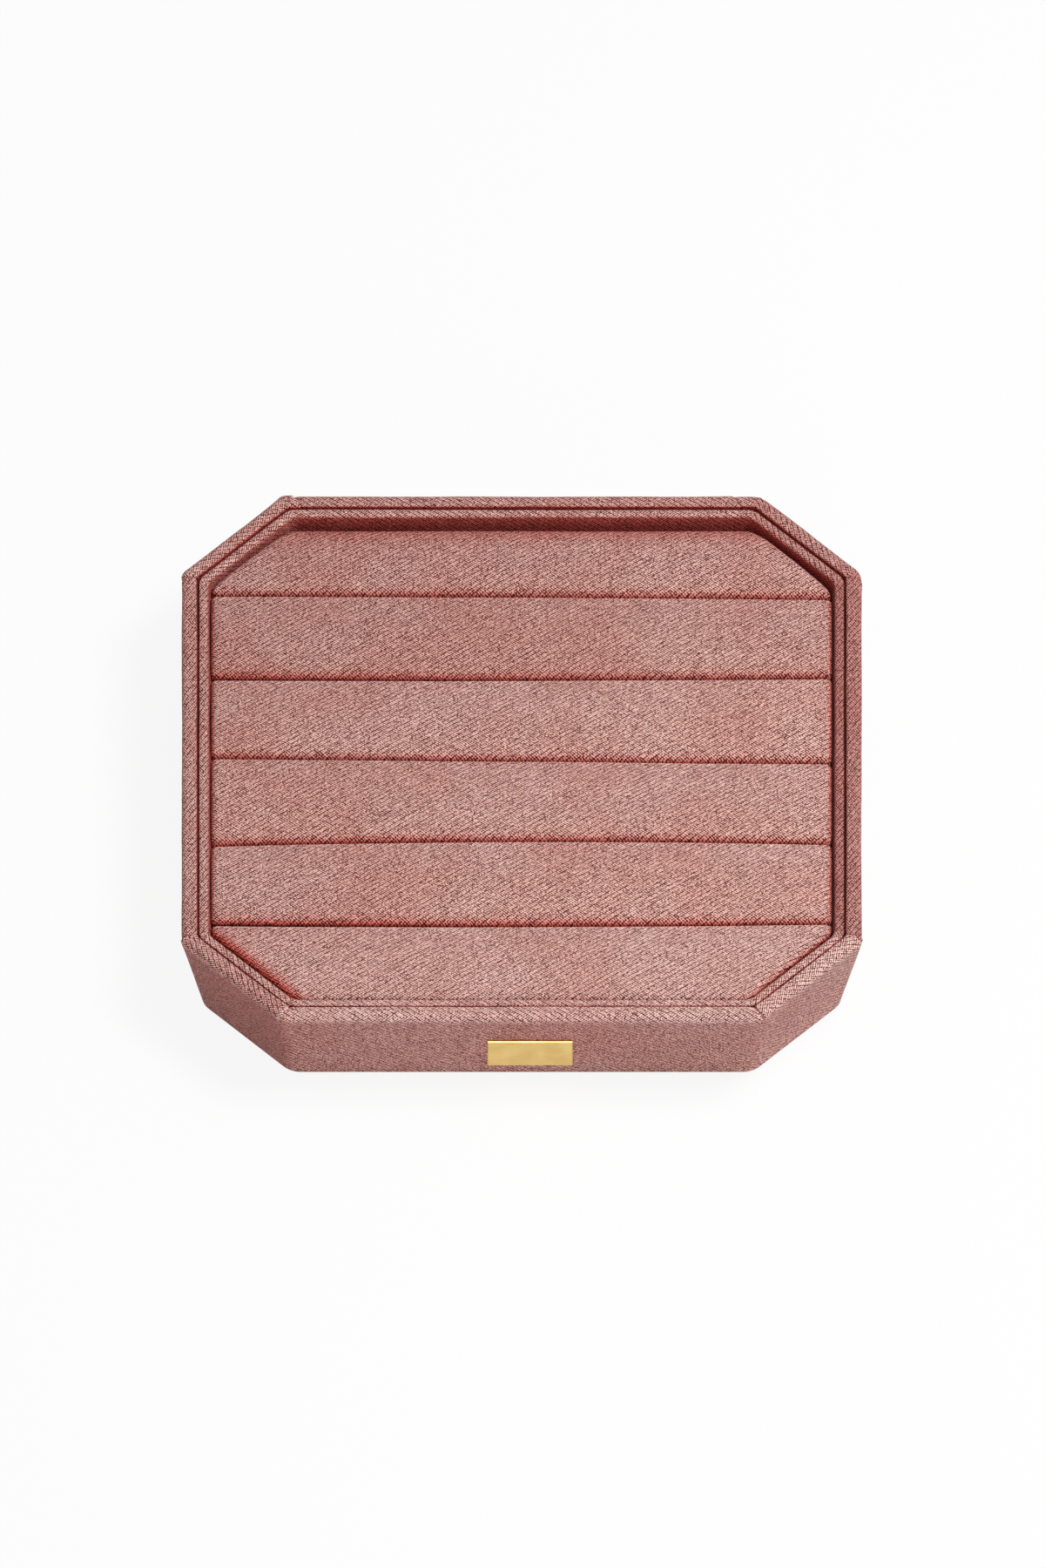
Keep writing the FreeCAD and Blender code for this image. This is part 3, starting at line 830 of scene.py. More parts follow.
@dataclass
class ClothRing:
    """A strip of cloth round the tray: one section carried along all eight sides and bends.

    Columns lie close together near a side's ends and get wider towards its middle.
    """

    shape: TrayShape
    name: str
    fine: float = 0.3
    fine_count: int = 18
    wider: tuple[float, ...] = (6.2, 7.2, 8.5, 10.0, 12.0, 14.5, 17.5)
    coarse: float = 4.0
    turns: int = 9
    bend: float = 2.8

    def __post_init__(self) -> None:
        """Lays out the columns of the strip."""
        self.shares = self.side_shares()
        self.inside_turn = np.linspace(0, 1, self.turns + 2)[1:-1]
        outline = self.ring(0.0, np.full(SIDES, self.bend))
        steps = np.linalg.norm(np.roll(outline, -1, axis=0) - outline, axis=1)
        self.around = np.concatenate([[0.0], np.cumsum(steps)])
        self.total = len(outline)
        ends = np.cumsum([len(places) + self.turns for places in self.shares])
        self.corners = self.around[ends - (self.turns + 1) // 2]
        starts = np.concatenate([[0], ends[:-1]])
        self.middles = (self.around[starts] + self.around[ends - self.turns - 1]) / 2

    def side_shares(self) -> list[np.ndarray]:
        """Lays out the columns of each side.

        Returns:
            For each side, the places of its columns from 0 to 1.
        """
        steps = [self.fine * k for k in range(self.fine_count)] + list(self.wider)
        shares = []
        for side in range(SIDES):
            start, end = self.shape.span(side, 0.0, np.full(SIDES, self.bend))
            length = end - start
            near = sorted({step for step in steps if step < length / 2 - 1.0})
            open_length = length - 2 * near[-1]
            middle = np.linspace(near[-1], length - near[-1], max(3, round(open_length / self.coarse)))
            places = near[:-1] + list(middle) + [length - step for step in near[-2::-1]]
            shares.append(np.array(places) / length)
        return shares

    def ring(self, inset: float, bends: np.ndarray) -> np.ndarray:
        """The places of the strip's columns at one level."""
        return self.shape.ring(inset, bends, self.shares, self.inside_turn)

    def past_corner(self, corner: int) -> np.ndarray:
        """How far each column is past a corner, anticlockwise and at most half way round."""
        whole = self.around[-1]
        return (self.around[:-1] - self.corners[corner] + whole / 2) % whole - whole / 2

    def by_side(self, values: tuple[float, ...]) -> np.ndarray:
        """Spreads values of the sides over the columns, changing smoothly in the bends.

        Args:
            values: one value for each side.

        Returns:
            One value for each column.
        """
        columns = []
        for side in range(SIDES):
            ahead = values[(side + 1) % SIDES]
            columns += [values[side]] * len(self.shares[side])
            columns += list(values[side] + (ahead - values[side]) * self.inside_turn)
        return np.array(columns)

    def spots(self, inset: float, bends: np.ndarray) -> tuple[np.ndarray, np.ndarray]:
        """Finds where the columns lie along the unstretched cloth, with a seam in each bend's middle.

        Args:
            inset: how far in the level is.
            bends: the radius of each corner.

        Returns:
            The columns' places as the end of one face and as the start of the next.
        """
        ends, starts = [], []
        for side in range(SIDES):
            ahead = (side + 1) % SIDES
            start, end = self.shape.span(side, inset, bends)
            next_start = self.shape.span(ahead, inset, bends)[0]
            straight = self.middles[side] + start + (end - start) * self.shares[side]
            arc = bends[side] * EIGHTH_TURN
            own = self.middles[side] + end + arc * self.inside_turn
            other = self.middles[ahead] + next_start - arc * (1 - self.inside_turn)
            ends += [straight, np.where(self.inside_turn <= 0.5, own, other)]
            starts += [straight, np.where(self.inside_turn < 0.5, own, other)]
        return np.concatenate(ends), np.concatenate(starts)

    def build(self, section: np.ndarray, bends: np.ndarray, slack: np.ndarray, dressing: Dressing) -> Piece:
        """Carries a closed section round the tray.

        Args:
            section: inset and height of each point of the section, in order round it.
            bends: the radius of the eight corners at each point of the section.
            slack: how free the cloth is at each point of the section.
            dressing: gives lift, painted shade, and painted light and shade of all columns at a point of the
                section.

        Returns:
            The strip, linked into the scene.
        """
        ahead = np.roll(section, -1, axis=0)
        along = np.concatenate([[0.0], np.cumsum(np.linalg.norm(ahead - section, axis=1))])
        tangent = ahead - np.roll(section, 1, axis=0)
        outwards = np.stack([tangent[:, 1], -tangent[:, 0]], axis=1)
        outwards /= np.maximum(np.linalg.norm(outwards, axis=1, keepdims=True), TINY)
        grid = GridMesh()
        rows, spots = [], []
        for j, (inset, height) in enumerate(section):
            lift, crease, nap_and_light = dressing(j)
            spots.append(self.spots(inset, bends[j]))
            flat = self.ring(inset, bends[j])
            sideways = self.ring(inset + outwards[j, 0], bends[j]) - flat
            points = np.column_stack([flat + sideways * lift[:, None], height + outwards[j, 1] * lift])
            rows.append(grid.add_points(points, slack[j], crease, nap_and_light))
        for j in range(len(section)):
            above = (j + 1) % len(section)
            low, high = rows[j], rows[above]
            (low_ends, low_starts), (high_ends, high_starts) = spots[j], spots[above]
            for i in range(self.total):
                k = (i + 1) % self.total
                bottom = ((low_starts[i], along[j]), (low_ends[k], along[j]))
                upper = ((high_ends[k], along[j + 1]), (high_starts[i], along[j + 1]))
                grid.add_face((low[i], low[k], high[k], high[i]), bottom + upper)
        return link_piece(self.name, grid.mesh(self.name))


class ShapingTree:
    """A geometry tree that moves a piece's points and gives it its finish, with named sizes as inputs."""

    NAME = ""
    SIZES: tuple[str, ...] = ()

    def __init__(self) -> None:
        """Builds the tree from its inputs to its finish."""
        self.tree = bpy.data.node_groups.new(self.NAME, "GeometryNodeTree")
        face = self.tree.interface
        face.new_socket("Geometry", in_out="INPUT", socket_type="NodeSocketGeometry")
        kinds = dict.fromkeys((*self.SIZES, "Seed"), "NodeSocketFloat")
        kinds["Finish"] = "NodeSocketMaterial"
        self.inputs: dict[str, str] = {}
        for name, kind in kinds.items():
            self.inputs[name] = face.new_socket(name, in_out="INPUT", socket_type=kind).identifier
        face.new_socket("Geometry", in_out="OUTPUT", socket_type="NodeSocketGeometry")
        nodes = NodeTree(self.tree)
        self.nodes = nodes
        self.given = nodes.add("NodeGroupInput").outputs
        self.where = nodes.add("GeometryNodeInputPosition").outputs[0]
        named = nodes.add("GeometryNodeInputNamedAttribute", {"Name": SLACK}, data_type="FLOAT")
        self.slack = named.outputs[0]
        sockets = {"Geometry": self.given["Geometry"], "Offset": self.offset()}
        moved = nodes.add("GeometryNodeSetPosition", sockets).outputs[0]
        real = nodes.add("GeometryNodeRealizeInstances", {0: moved}).outputs[0]
        sockets = {"Geometry": real, "Material": self.given["Finish"]}
        dressed = nodes.add("GeometryNodeSetMaterial", sockets).outputs[0]
        nodes.add("NodeGroupOutput", {0: dressed})

    def offset(self) -> Socket:
        """How far each point moves; every kind of tree has its own."""
        raise NotImplementedError

    def unevenness(self, amount: str, size: str) -> Socket:
        """Adds noise.

        Args:
            amount: the input that says how large it is from end to end.
            size: the input that says how wide its patches are.

        Returns:
            The noise, about 0 on average.
        """
        nodes, given = self.nodes, self.given
        scale = nodes.math("DIVIDE", 1.0, given[size])
        sockets = {"Vector": self.where, "W": given["Seed"], "Scale": scale, "Detail": 1.0}
        noise = nodes.add("ShaderNodeTexNoise", sockets, noise_dimensions="4D").outputs[0]
        return nodes.math("MULTIPLY", nodes.math("SUBTRACT", noise, 0.5), given[amount])

    def apply(self, piece: Piece, finish: Material, seed: float, sizes: dict[str, float]) -> None:
        """Shapes a piece and leaves it with a plain mesh.

        Args:
            piece: the piece, with its slack attribute.
            finish: its material.
            seed: what tells its unevenness from other pieces'.
            sizes: input name to size, in millimetres.
        """
        modifier = piece.modifiers.new(self.NAME, "NODES")
        modifier.node_group = self.tree
        for name, size in sizes.items():
            modifier[self.inputs[name]] = size * MM
        modifier[self.inputs["Seed"]] = seed
        modifier[self.inputs["Finish"]] = finish
        plain_mesh(piece)


class UnevenCloth(ShapingTree):
    """Makes cloth slightly uneven where it is slack."""

    NAME = "uneven_cloth"
    SIZES = ("Swell", "Swell Size", "Ripple", "Ripple Size")

    def offset(self) -> Socket:
        """Adds up swell and ripple along the normal.

        Returns:
            How far each point moves.
        """
        nodes = self.nodes
        lifts = [self.unevenness(amount, f"{amount} Size") for amount in ("Swell", "Ripple")]
        lift = nodes.math("MULTIPLY", nodes.math("ADD", *lifts), self.slack)
        outwards = nodes.add("GeometryNodeInputNormal").outputs[0]
        sockets = {0: outwards, "Scale": lift}
        return nodes.add("ShaderNodeVectorMath", sockets, operation="SCALE").outputs[0]

    def loosen(self, piece: Piece, finish: Material, seed: float, swell: Pair, ripple: Pair) -> None:
        """Makes a piece uneven by a swell and a ripple, each an amount and the width of its patches."""
        self.apply(piece, finish, seed, dict(zip(self.SIZES, (*swell, *ripple))))


class BarShaping(ShapingTree):
    """Bends a straight bar to its two slits and settles its top."""

    NAME = "ring_bar_shaping"
    SLITS = ("Front Left", "Front Middle", "Front Right", "Back Left", "Back Middle", "Back Right")
    SIZES = (*SLITS, "Half Width", "Shift", "Front Edge", "Back Edge", "Settle", "Settle Size")

    def offset(self) -> Socket:
        """Blends the lines of the two slits across the bar.

        Returns:
            How far each point moves.
        """
        nodes, given = self.nodes, self.given
        x, y = nodes.add("ShaderNodeSeparateXYZ", {0: self.where}).outputs[:2]
        share = nodes.math("DIVIDE", x, given["Half Width"])
        depth = nodes.math("SUBTRACT", given["Back Edge"], given["Front Edge"])
        past = nodes.math("SUBTRACT", y, given["Front Edge"])
        across = nodes.math("DIVIDE", past, depth, clamp=True)
        sideways = nodes.blend(across, self.line("Front", share), self.line("Back", share))
        settle = nodes.math("MULTIPLY", self.unevenness("Settle", "Settle Size"), self.slack)
        return nodes.add("ShaderNodeCombineXYZ", {0: given["Shift"], 1: sideways, 2: settle}).outputs[0]

    def line(self, slit: str, share: Socket) -> Socket:
        """Draws a slit's smooth line through its three places.

        Args:
            slit: which slit, as in the inputs' names.
            share: the place along the bar, from -1 to 1.

        Returns:
            How far the slit wanders there.
        """
        nodes = self.nodes
        left, middle, right = (self.given[f"{slit} {point}"] for point in ("Left", "Middle", "Right"))
        slope = nodes.math("MULTIPLY", nodes.math("SUBTRACT", right, left), 0.5)
        mean = nodes.math("MULTIPLY", nodes.math("ADD", right, left), 0.5)
        bow = nodes.math("SUBTRACT", mean, middle)
        tilted = nodes.math("MULTIPLY_ADD", slope, share, middle)
        return nodes.math("MULTIPLY_ADD", bow, nodes.math("MULTIPLY", share, share), tilted)


@dataclass
class OuterWrap:
    """The cloth round the walls: from under the base up the outside, over the rim and down the inside.

    Corners count from the front's right end, and sides from the front, both anticlockwise.
    """

    shape: TrayShape
    cloth: float = 0.75
    turn_in: float = 15.0
    hem: float = 12.0
    rim_radius: float = 1.75
    inner_radius: float = 0.8
    under_radius: float = 0.6
    foot_radius: float = 1.3
    foot_roll: float = 0.45
    roll_width: float = 1.6
    roll_end: float = 2.3
    roll_radius: float = 0.3
    glued_below: float = 0.4
    inner_bend: float = 0.8
    rim_bends: tuple[float, ...] = (3.0, 3.5, 6.5, 7.5, 3.0, 4.0, 2.6, 3.0)
    foot_bends: tuple[float, ...] = (7.0, 6.0, 7.0, 7.5, 6.0, 6.0, 5.5, 7.5)
    # Painted light and shade on each side, laid on as the lie of the pile: paler on the front rim, deeper on
    # the right and back rims and on the front-left face.
    rim_nap_and_light: tuple[float, ...] = (0.16, 0.15, -0.75, -0.55, -0.45, -0.3, -0.35, -0.3)
    face_nap_and_light: tuple[float, ...] = (-0.55, -0.3, -0.3, -0.3, -0.3, -0.3, -0.5, -1.0)
    rim_depth: float = 1.5
    face_fade: float = 2.0
    # Painted light: the outer faces turn paler towards the foot, where the floor shades them.
    foot_light: float = 0.5
    foot_light_from: float = 0.4
    # Painted shade in the gap between rim and liner, and red and deeper painted shade in the crease beside
    # each fold.
    gap_shade: float = 1.35
    gap_share: float = 0.03
    fold_on_face: float = 0.5
    fold_reach: float = 14.0
    tuck_red_shade: float = 0.45
    tuck_dark_shade: float = -1.2
    seed: float = 3.0
    swell: Pair = (0.5, 26.0)
    ripple: Pair = (0.16, 5.0)
    folds: tuple[CornerFold, ...] = (
        CornerFold(Lap.AFTER, 0.2, 1.2, rise=0.4, tail=3.0, crease=0.6, shade=0.9),
        CornerFold(Lap.BEFORE, 0.8, 1.0, rise=0.25, tail=4.0, crease=0.35, frayed_and_lit=0.5, shade=0.8),
        CornerFold(Lap.BEFORE, -1.0, -1.0, rise=0.25, tail=3.0, crease=0.45),
        CornerFold(Lap.AFTER, 5.0, 2.0, rise=0.3, tail=5.0, crease=0.5, shade=0.7),
        CornerFold(Lap.AFTER, -4.5, 1.5, rise=0.45, tail=8.0, crease=0.5, frayed_and_lit=0.6, shade=0.7),
        CornerFold(Lap.BEFORE, 0.6, 0.5, rise=0.2, tail=4.0, crease=0.35),
        CornerFold(Lap.AFTER, -0.6, -0.8, rise=0.3, tail=4.0, crease=0.5, frayed_and_lit=0.5, shade=1.0),
        CornerFold(Lap.BEFORE, 0.8, -1.6, rise=0.6, tail=3.0, crease=0.5, frayed_and_lit=1.4, shade=0.3),
    )

    def section(self) -> tuple[np.ndarray, np.ndarray]:
        """Draws the cloth's closed section.

        Returns:
            Inset and height of each point, and how free the cloth is there.
        """
        shape, cloth = self.shape, self.cloth
        end, foot = shape.height - self.turn_in, shape.felt
        under_rim, under_foot = shape.height - cloth, foot + cloth
        outer_foot = shape.leaned(0.0, foot)
        skin = rounded_path(
            [
                (shape.leaned(shape.wall, end), end),
                (shape.wall, shape.height),
                (0.0, shape.height),
                (outer_foot - self.foot_roll, foot - self.foot_roll),
                (outer_foot + self.roll_width, foot - self.foot_roll),
                (outer_foot + self.roll_end, foot),
                (outer_foot + self.hem, foot),
            ],
            [0, self.inner_radius, self.rim_radius, self.foot_radius, self.roll_radius, self.roll_radius, 0],
            SKIN_STEP,
        )
        under = rounded_path(
            [
                (outer_foot + self.hem, under_foot),
                (shape.leaned(cloth, under_foot), under_foot),
                (shape.leaned(cloth, under_rim), under_rim),
                (shape.wall - cloth, under_rim),
                (shape.leaned(shape.wall - cloth, end), end),
            ],
            [0, self.under_radius, self.under_radius, self.under_radius, 0],
            UNDER_STEP,
        )
        section, slack = closed_section(skin, under)
        slack[section[:, 1] < foot + self.glued_below] = 0.0
        return section, slack

    def outside(self, section: np.ndarray) -> np.ndarray:
        """0 on the inner face of the wall and 1 on its outer face, for each point of the section."""
        return 1.0 - np.clip(self.shape.upright(section) / self.shape.wall, 0, 1)

    def bends(self, section: np.ndarray) -> np.ndarray:
        """Works out the corners: small at the rim, larger at the foot and sharp on the inside.

        Args:
            section: inset and height of each point of the section.

        Returns:
            The radius of the eight corners at each point.
        """
        depth = ramp(section[:, 1], self.shape.height, 0.0)[:, None]
        outer = np.array(self.rim_bends) * (1 - depth) + np.array(self.foot_bends) * depth
        share = self.outside(section)[:, None]
        return self.inner_bend + (outer - self.inner_bend) * share

    def build(self, uneven: UnevenCloth, finish: Material) -> None:
        """Makes the wrap with its tucked corners and puts it round the walls.

        Args:
            uneven: the tree that makes cloth uneven.
            finish: the cloth's material.
        """
        strip = ClothRing(self.shape, "outer_wrap_cloth")
        section, slack = self.section()
        outside = self.outside(section)
        depth = np.maximum(0.0, self.shape.height - section[:, 1] - self.rim_depth)
        rim_nap_and_light, face_nap_and_light = strip.by_side(self.rim_nap_and_light), strip.by_side(self.face_nap_and_light)

        def dressing(j: int) -> tuple[np.ndarray, np.ndarray, np.ndarray]:
            """Works out the folds and faces at one point of the section.

            Args:
                j: the point's number.

            Returns:
                Lift, crease and nap of every column.
            """
            on_face = float(outside[j] > 0.5)
            lift = np.zeros(strip.total)
            # Painted shade where the cloth goes down into the gap, and painted light and shade by side and
            # towards the foot.
            in_gap = slack[j] * max(0.0, 1 - outside[j] / self.gap_share)
            crease = np.full(strip.total, self.gap_shade * in_gap)
            nap_and_light = rim_nap_and_light + (face_nap_and_light - rim_nap_and_light) * min(1.0, depth[j] / self.face_fade) * on_face
            low = max(0.0, depth[j] / self.shape.height - self.foot_light_from)
            nap_and_light = nap_and_light + self.foot_light * low * on_face
            if slack[j] == 0:
                return lift, crease, nap_and_light
            on_rim = 1.0 if depth[j] == 0 else self.fold_on_face * on_face
            for corner, fold in enumerate(self.folds):
                past = strip.past_corner(corner)
                away = fold.away(past, outside[j])
                fade = math.exp(-depth[j] / fold.drop) * np.exp(-np.abs(past) / self.fold_reach) * on_rim
                # The crease beside the fold takes painted shade; its raised edge takes a paler tone, partly
                # fraying and partly painted highlight.
                tuck = fold.tucked(away) * fade
                lift += fold.lift(away) * fade
                crease += self.tuck_red_shade * tuck
                nap_and_light += fold.worn(away) * fade + self.tuck_dark_shade * tuck
            return lift, np.clip(crease, 0, DEEPEST_SHADE), nap_and_light

        wrap = strip.build(section, self.bends(section), slack, dressing)
        uneven.loosen(wrap, finish, self.seed, self.swell, self.ripple)
        finish_piece(wrap, Body.TRAY, Slot.TWILL, "outer_wrap")


@dataclass
class InnerLiner:
    """The cloth of the covered strip that stands inside the walls. Sides count as in the wrap."""

    shape: TrayShape
    gap: float = 0.25
    thickness: float = 3.0
    cloth: float = 0.65
    hidden_play: float = 0.2
    drop: float = 0.8
    floor_gap: float = 0.05
    outer_radius: float = 0.5
    inner_radius: float = 1.2
    under_radius: float = 0.3
    bend: float = 5.0
    # Painted light and shade on each side: the liner's top paler or deeper, its inner wall deeper and redder
    # with painted shade, most at the right and the back.
    top_nap_and_light: tuple[float, ...] = (0.1, 0.0, -0.95, -0.6, -0.25, -0.15, -0.3, -0.1)
    wall_nap_and_shade: tuple[float, ...] = (-0.5, -0.5, -1.0, -1.0, -1.0, -0.9, -0.5, -0.5)
    wall_shade: tuple[float, ...] = (1.0, 1.0, 1.2, 0.97, 0.85, 0.55, 0.9, 1.0)
    top_depth: float = 0.15
    wall_shade_fade: float = 0.45
    crease_shade_fade: float = 0.6
    edge_line_shade: float = 0.4
    edge_from: float = 0.8
    gap_shade: float = 1.45
    gap_shares: Pair = (0.2, 0.08)
    hidden_depths: Pair = (8.0, 16.0)
    hidden_fade: float = 0.7
    seed: float = 11.0
    swell: Pair = (0.35, 30.0)
    ripple: Pair = (0.1, 6.0)

    @property
    def outer(self) -> float:
        """The inset of the liner's outer face at the rim."""
        return self.shape.wall + self.gap

    @property
    def top(self) -> float:
        """The height of the liner's top."""
        return self.shape.height - self.drop

    def section(self) -> tuple[np.ndarray, np.ndarray]:
        """Draws the cloth's closed section.

        Returns:
            Inset and height of each point, and how free the cloth is there.
        """
        shape, outer, top = self.shape, self.outer, self.top
        inner = outer + self.thickness
        foot, under_top = shape.floor + self.floor_gap, top - self.cloth
        under_outer, under_inner = outer + self.cloth + self.hidden_play, inner - self.cloth
        skin = rounded_path(
            [
                (shape.leaned(inner, foot), foot),
                (shape.leaned(inner, top), top),
                (shape.leaned(outer, top), top),
                (shape.leaned(outer, foot), foot),
            ],
            [0, self.inner_radius, self.outer_radius, 0],
            SKIN_STEP,
        )
        under = rounded_path(
            [
                (shape.leaned(under_outer, foot), foot),
                (shape.leaned(under_outer, under_top), under_top),
                (shape.leaned(under_inner, under_top), under_top),
                (shape.leaned(under_inner, foot), foot),
            ],
            [0, self.under_radius, self.under_radius, 0],
            UNDER_STEP,
        )
        return closed_section(skin, under)

    def shading(self, section: np.ndarray) -> tuple[np.ndarray, np.ndarray]:
        """Works out the painted shade down the inner wall, on its edge and in the gap outside.

        Args:
            section: inset and height of each point of the section.

        Returns:
            The painted shade at each point, and how far the painted light and shade is the wall's and not
            the top's, up to 1.
        """
        below = np.maximum(0.0, self.top - section[:, 1] - self.top_depth)
        inwards = (self.shape.upright(section) - self.outer) / self.thickness
        on_edge = self.edge_line_shade * ramp(inwards, self.edge_from, 1.0)
        crease = np.maximum(ramp(below, 0.0, self.crease_shade_fade), on_edge)
        crease = np.maximum(crease, self.gap_shade * ramp(inwards, *self.gap_shares))
        on_wall = ramp(below, 0.0, self.wall_shade_fade) * (inwards > 0.5)
        fade = 1 - self.hidden_fade * ramp(below, *self.hidden_depths)
        return crease * fade, on_wall * fade

    def build(self, uneven: UnevenCloth, finish: Material) -> None:
        """Makes the liner's cloth and stands it inside the walls.

        Args:
            uneven: the tree that makes cloth uneven.
            finish: the cloth's material.
        """
        strip = ClothRing(self.shape, "liner_strip_cloth", fine=0.5)
        section, slack = self.section()
        crease, on_wall = self.shading(section)
        bends = np.full((len(section), SIDES), self.bend)
        top_nap_and_light, wall_nap_and_shade = strip.by_side(self.top_nap_and_light), strip.by_side(self.wall_nap_and_shade)
        wall_shade = strip.by_side(self.wall_shade)

        def dressing(j: int) -> tuple[np.ndarray, np.ndarray, np.ndarray]:
            """No lift, and the painted shade and the painted light and shade of every column at one point of
            the section.
            """
            nap_and_light = top_nap_and_light + (wall_nap_and_shade - top_nap_and_light) * on_wall[j]
            return np.zeros(strip.total), crease[j] * slack[j] * wall_shade, nap_and_light

        liner = strip.build(section, bends, slack, dressing)
        uneven.loosen(liner, finish, self.seed, self.swell, self.ripple)
        finish_piece(liner, Body.TRAY, Slot.TWILL, "liner_cloth")


@dataclass(frozen=True)
class Slit:
    """The line of an open slit: how far it wanders from straight and how dark its painted shade is at its
    two ends.
    """

    left: float = 0.0
    middle: float = 0.0
    right: float = 0.0
    dark: Pair = (1.0, 1.0)

    def sizes(self, side: str) -> dict[str, float]:
        """Its places by the names of the shaping tree's inputs, for the bar's Front or Back."""
        return {f"{side} Left": self.left, f"{side} Middle": self.middle, f"{side} Right": self.right}


@dataclass(frozen=True)
class EdgeShade:
    """Painted shade at a bar's edge: a red glow as wide as its halo and a dark line, with a painted
    highlight beside it.
    """

    halo: float
    glow: float
    line: float
    dark: float = 0.7
    nap_and_light: float = 0.0
    glow_curve: float = 1.5


@dataclass(frozen=True)
class BarSide:
    """One upright side of a bar and the edge above it."""

    out: Pair
    distance: float
    lean: float
    radius: float
    shade: EdgeShade

    def gap(self, points: np.ndarray) -> np.ndarray:
        """How far inside this side each place in plan is."""
        return self.distance - points @ np.array(self.out)

    def crease(self, gap: np.ndarray, dark: Values) -> np.ndarray:
        """Works out the painted shade beside the edge.

        Args:
            gap: how far inside this side each place is.
            dark: how dark the edge is there, 1 for plain.

        Returns:
            The painted shade at each place.
        """
        shade = self.shade
        glow = shade.glow * ramp(gap, shade.halo * dark**0.5, 0.0) ** shade.glow_curve
        line = shade.dark * np.exp(-((gap / shade.line) ** 2))
        return (glow + line) * dark


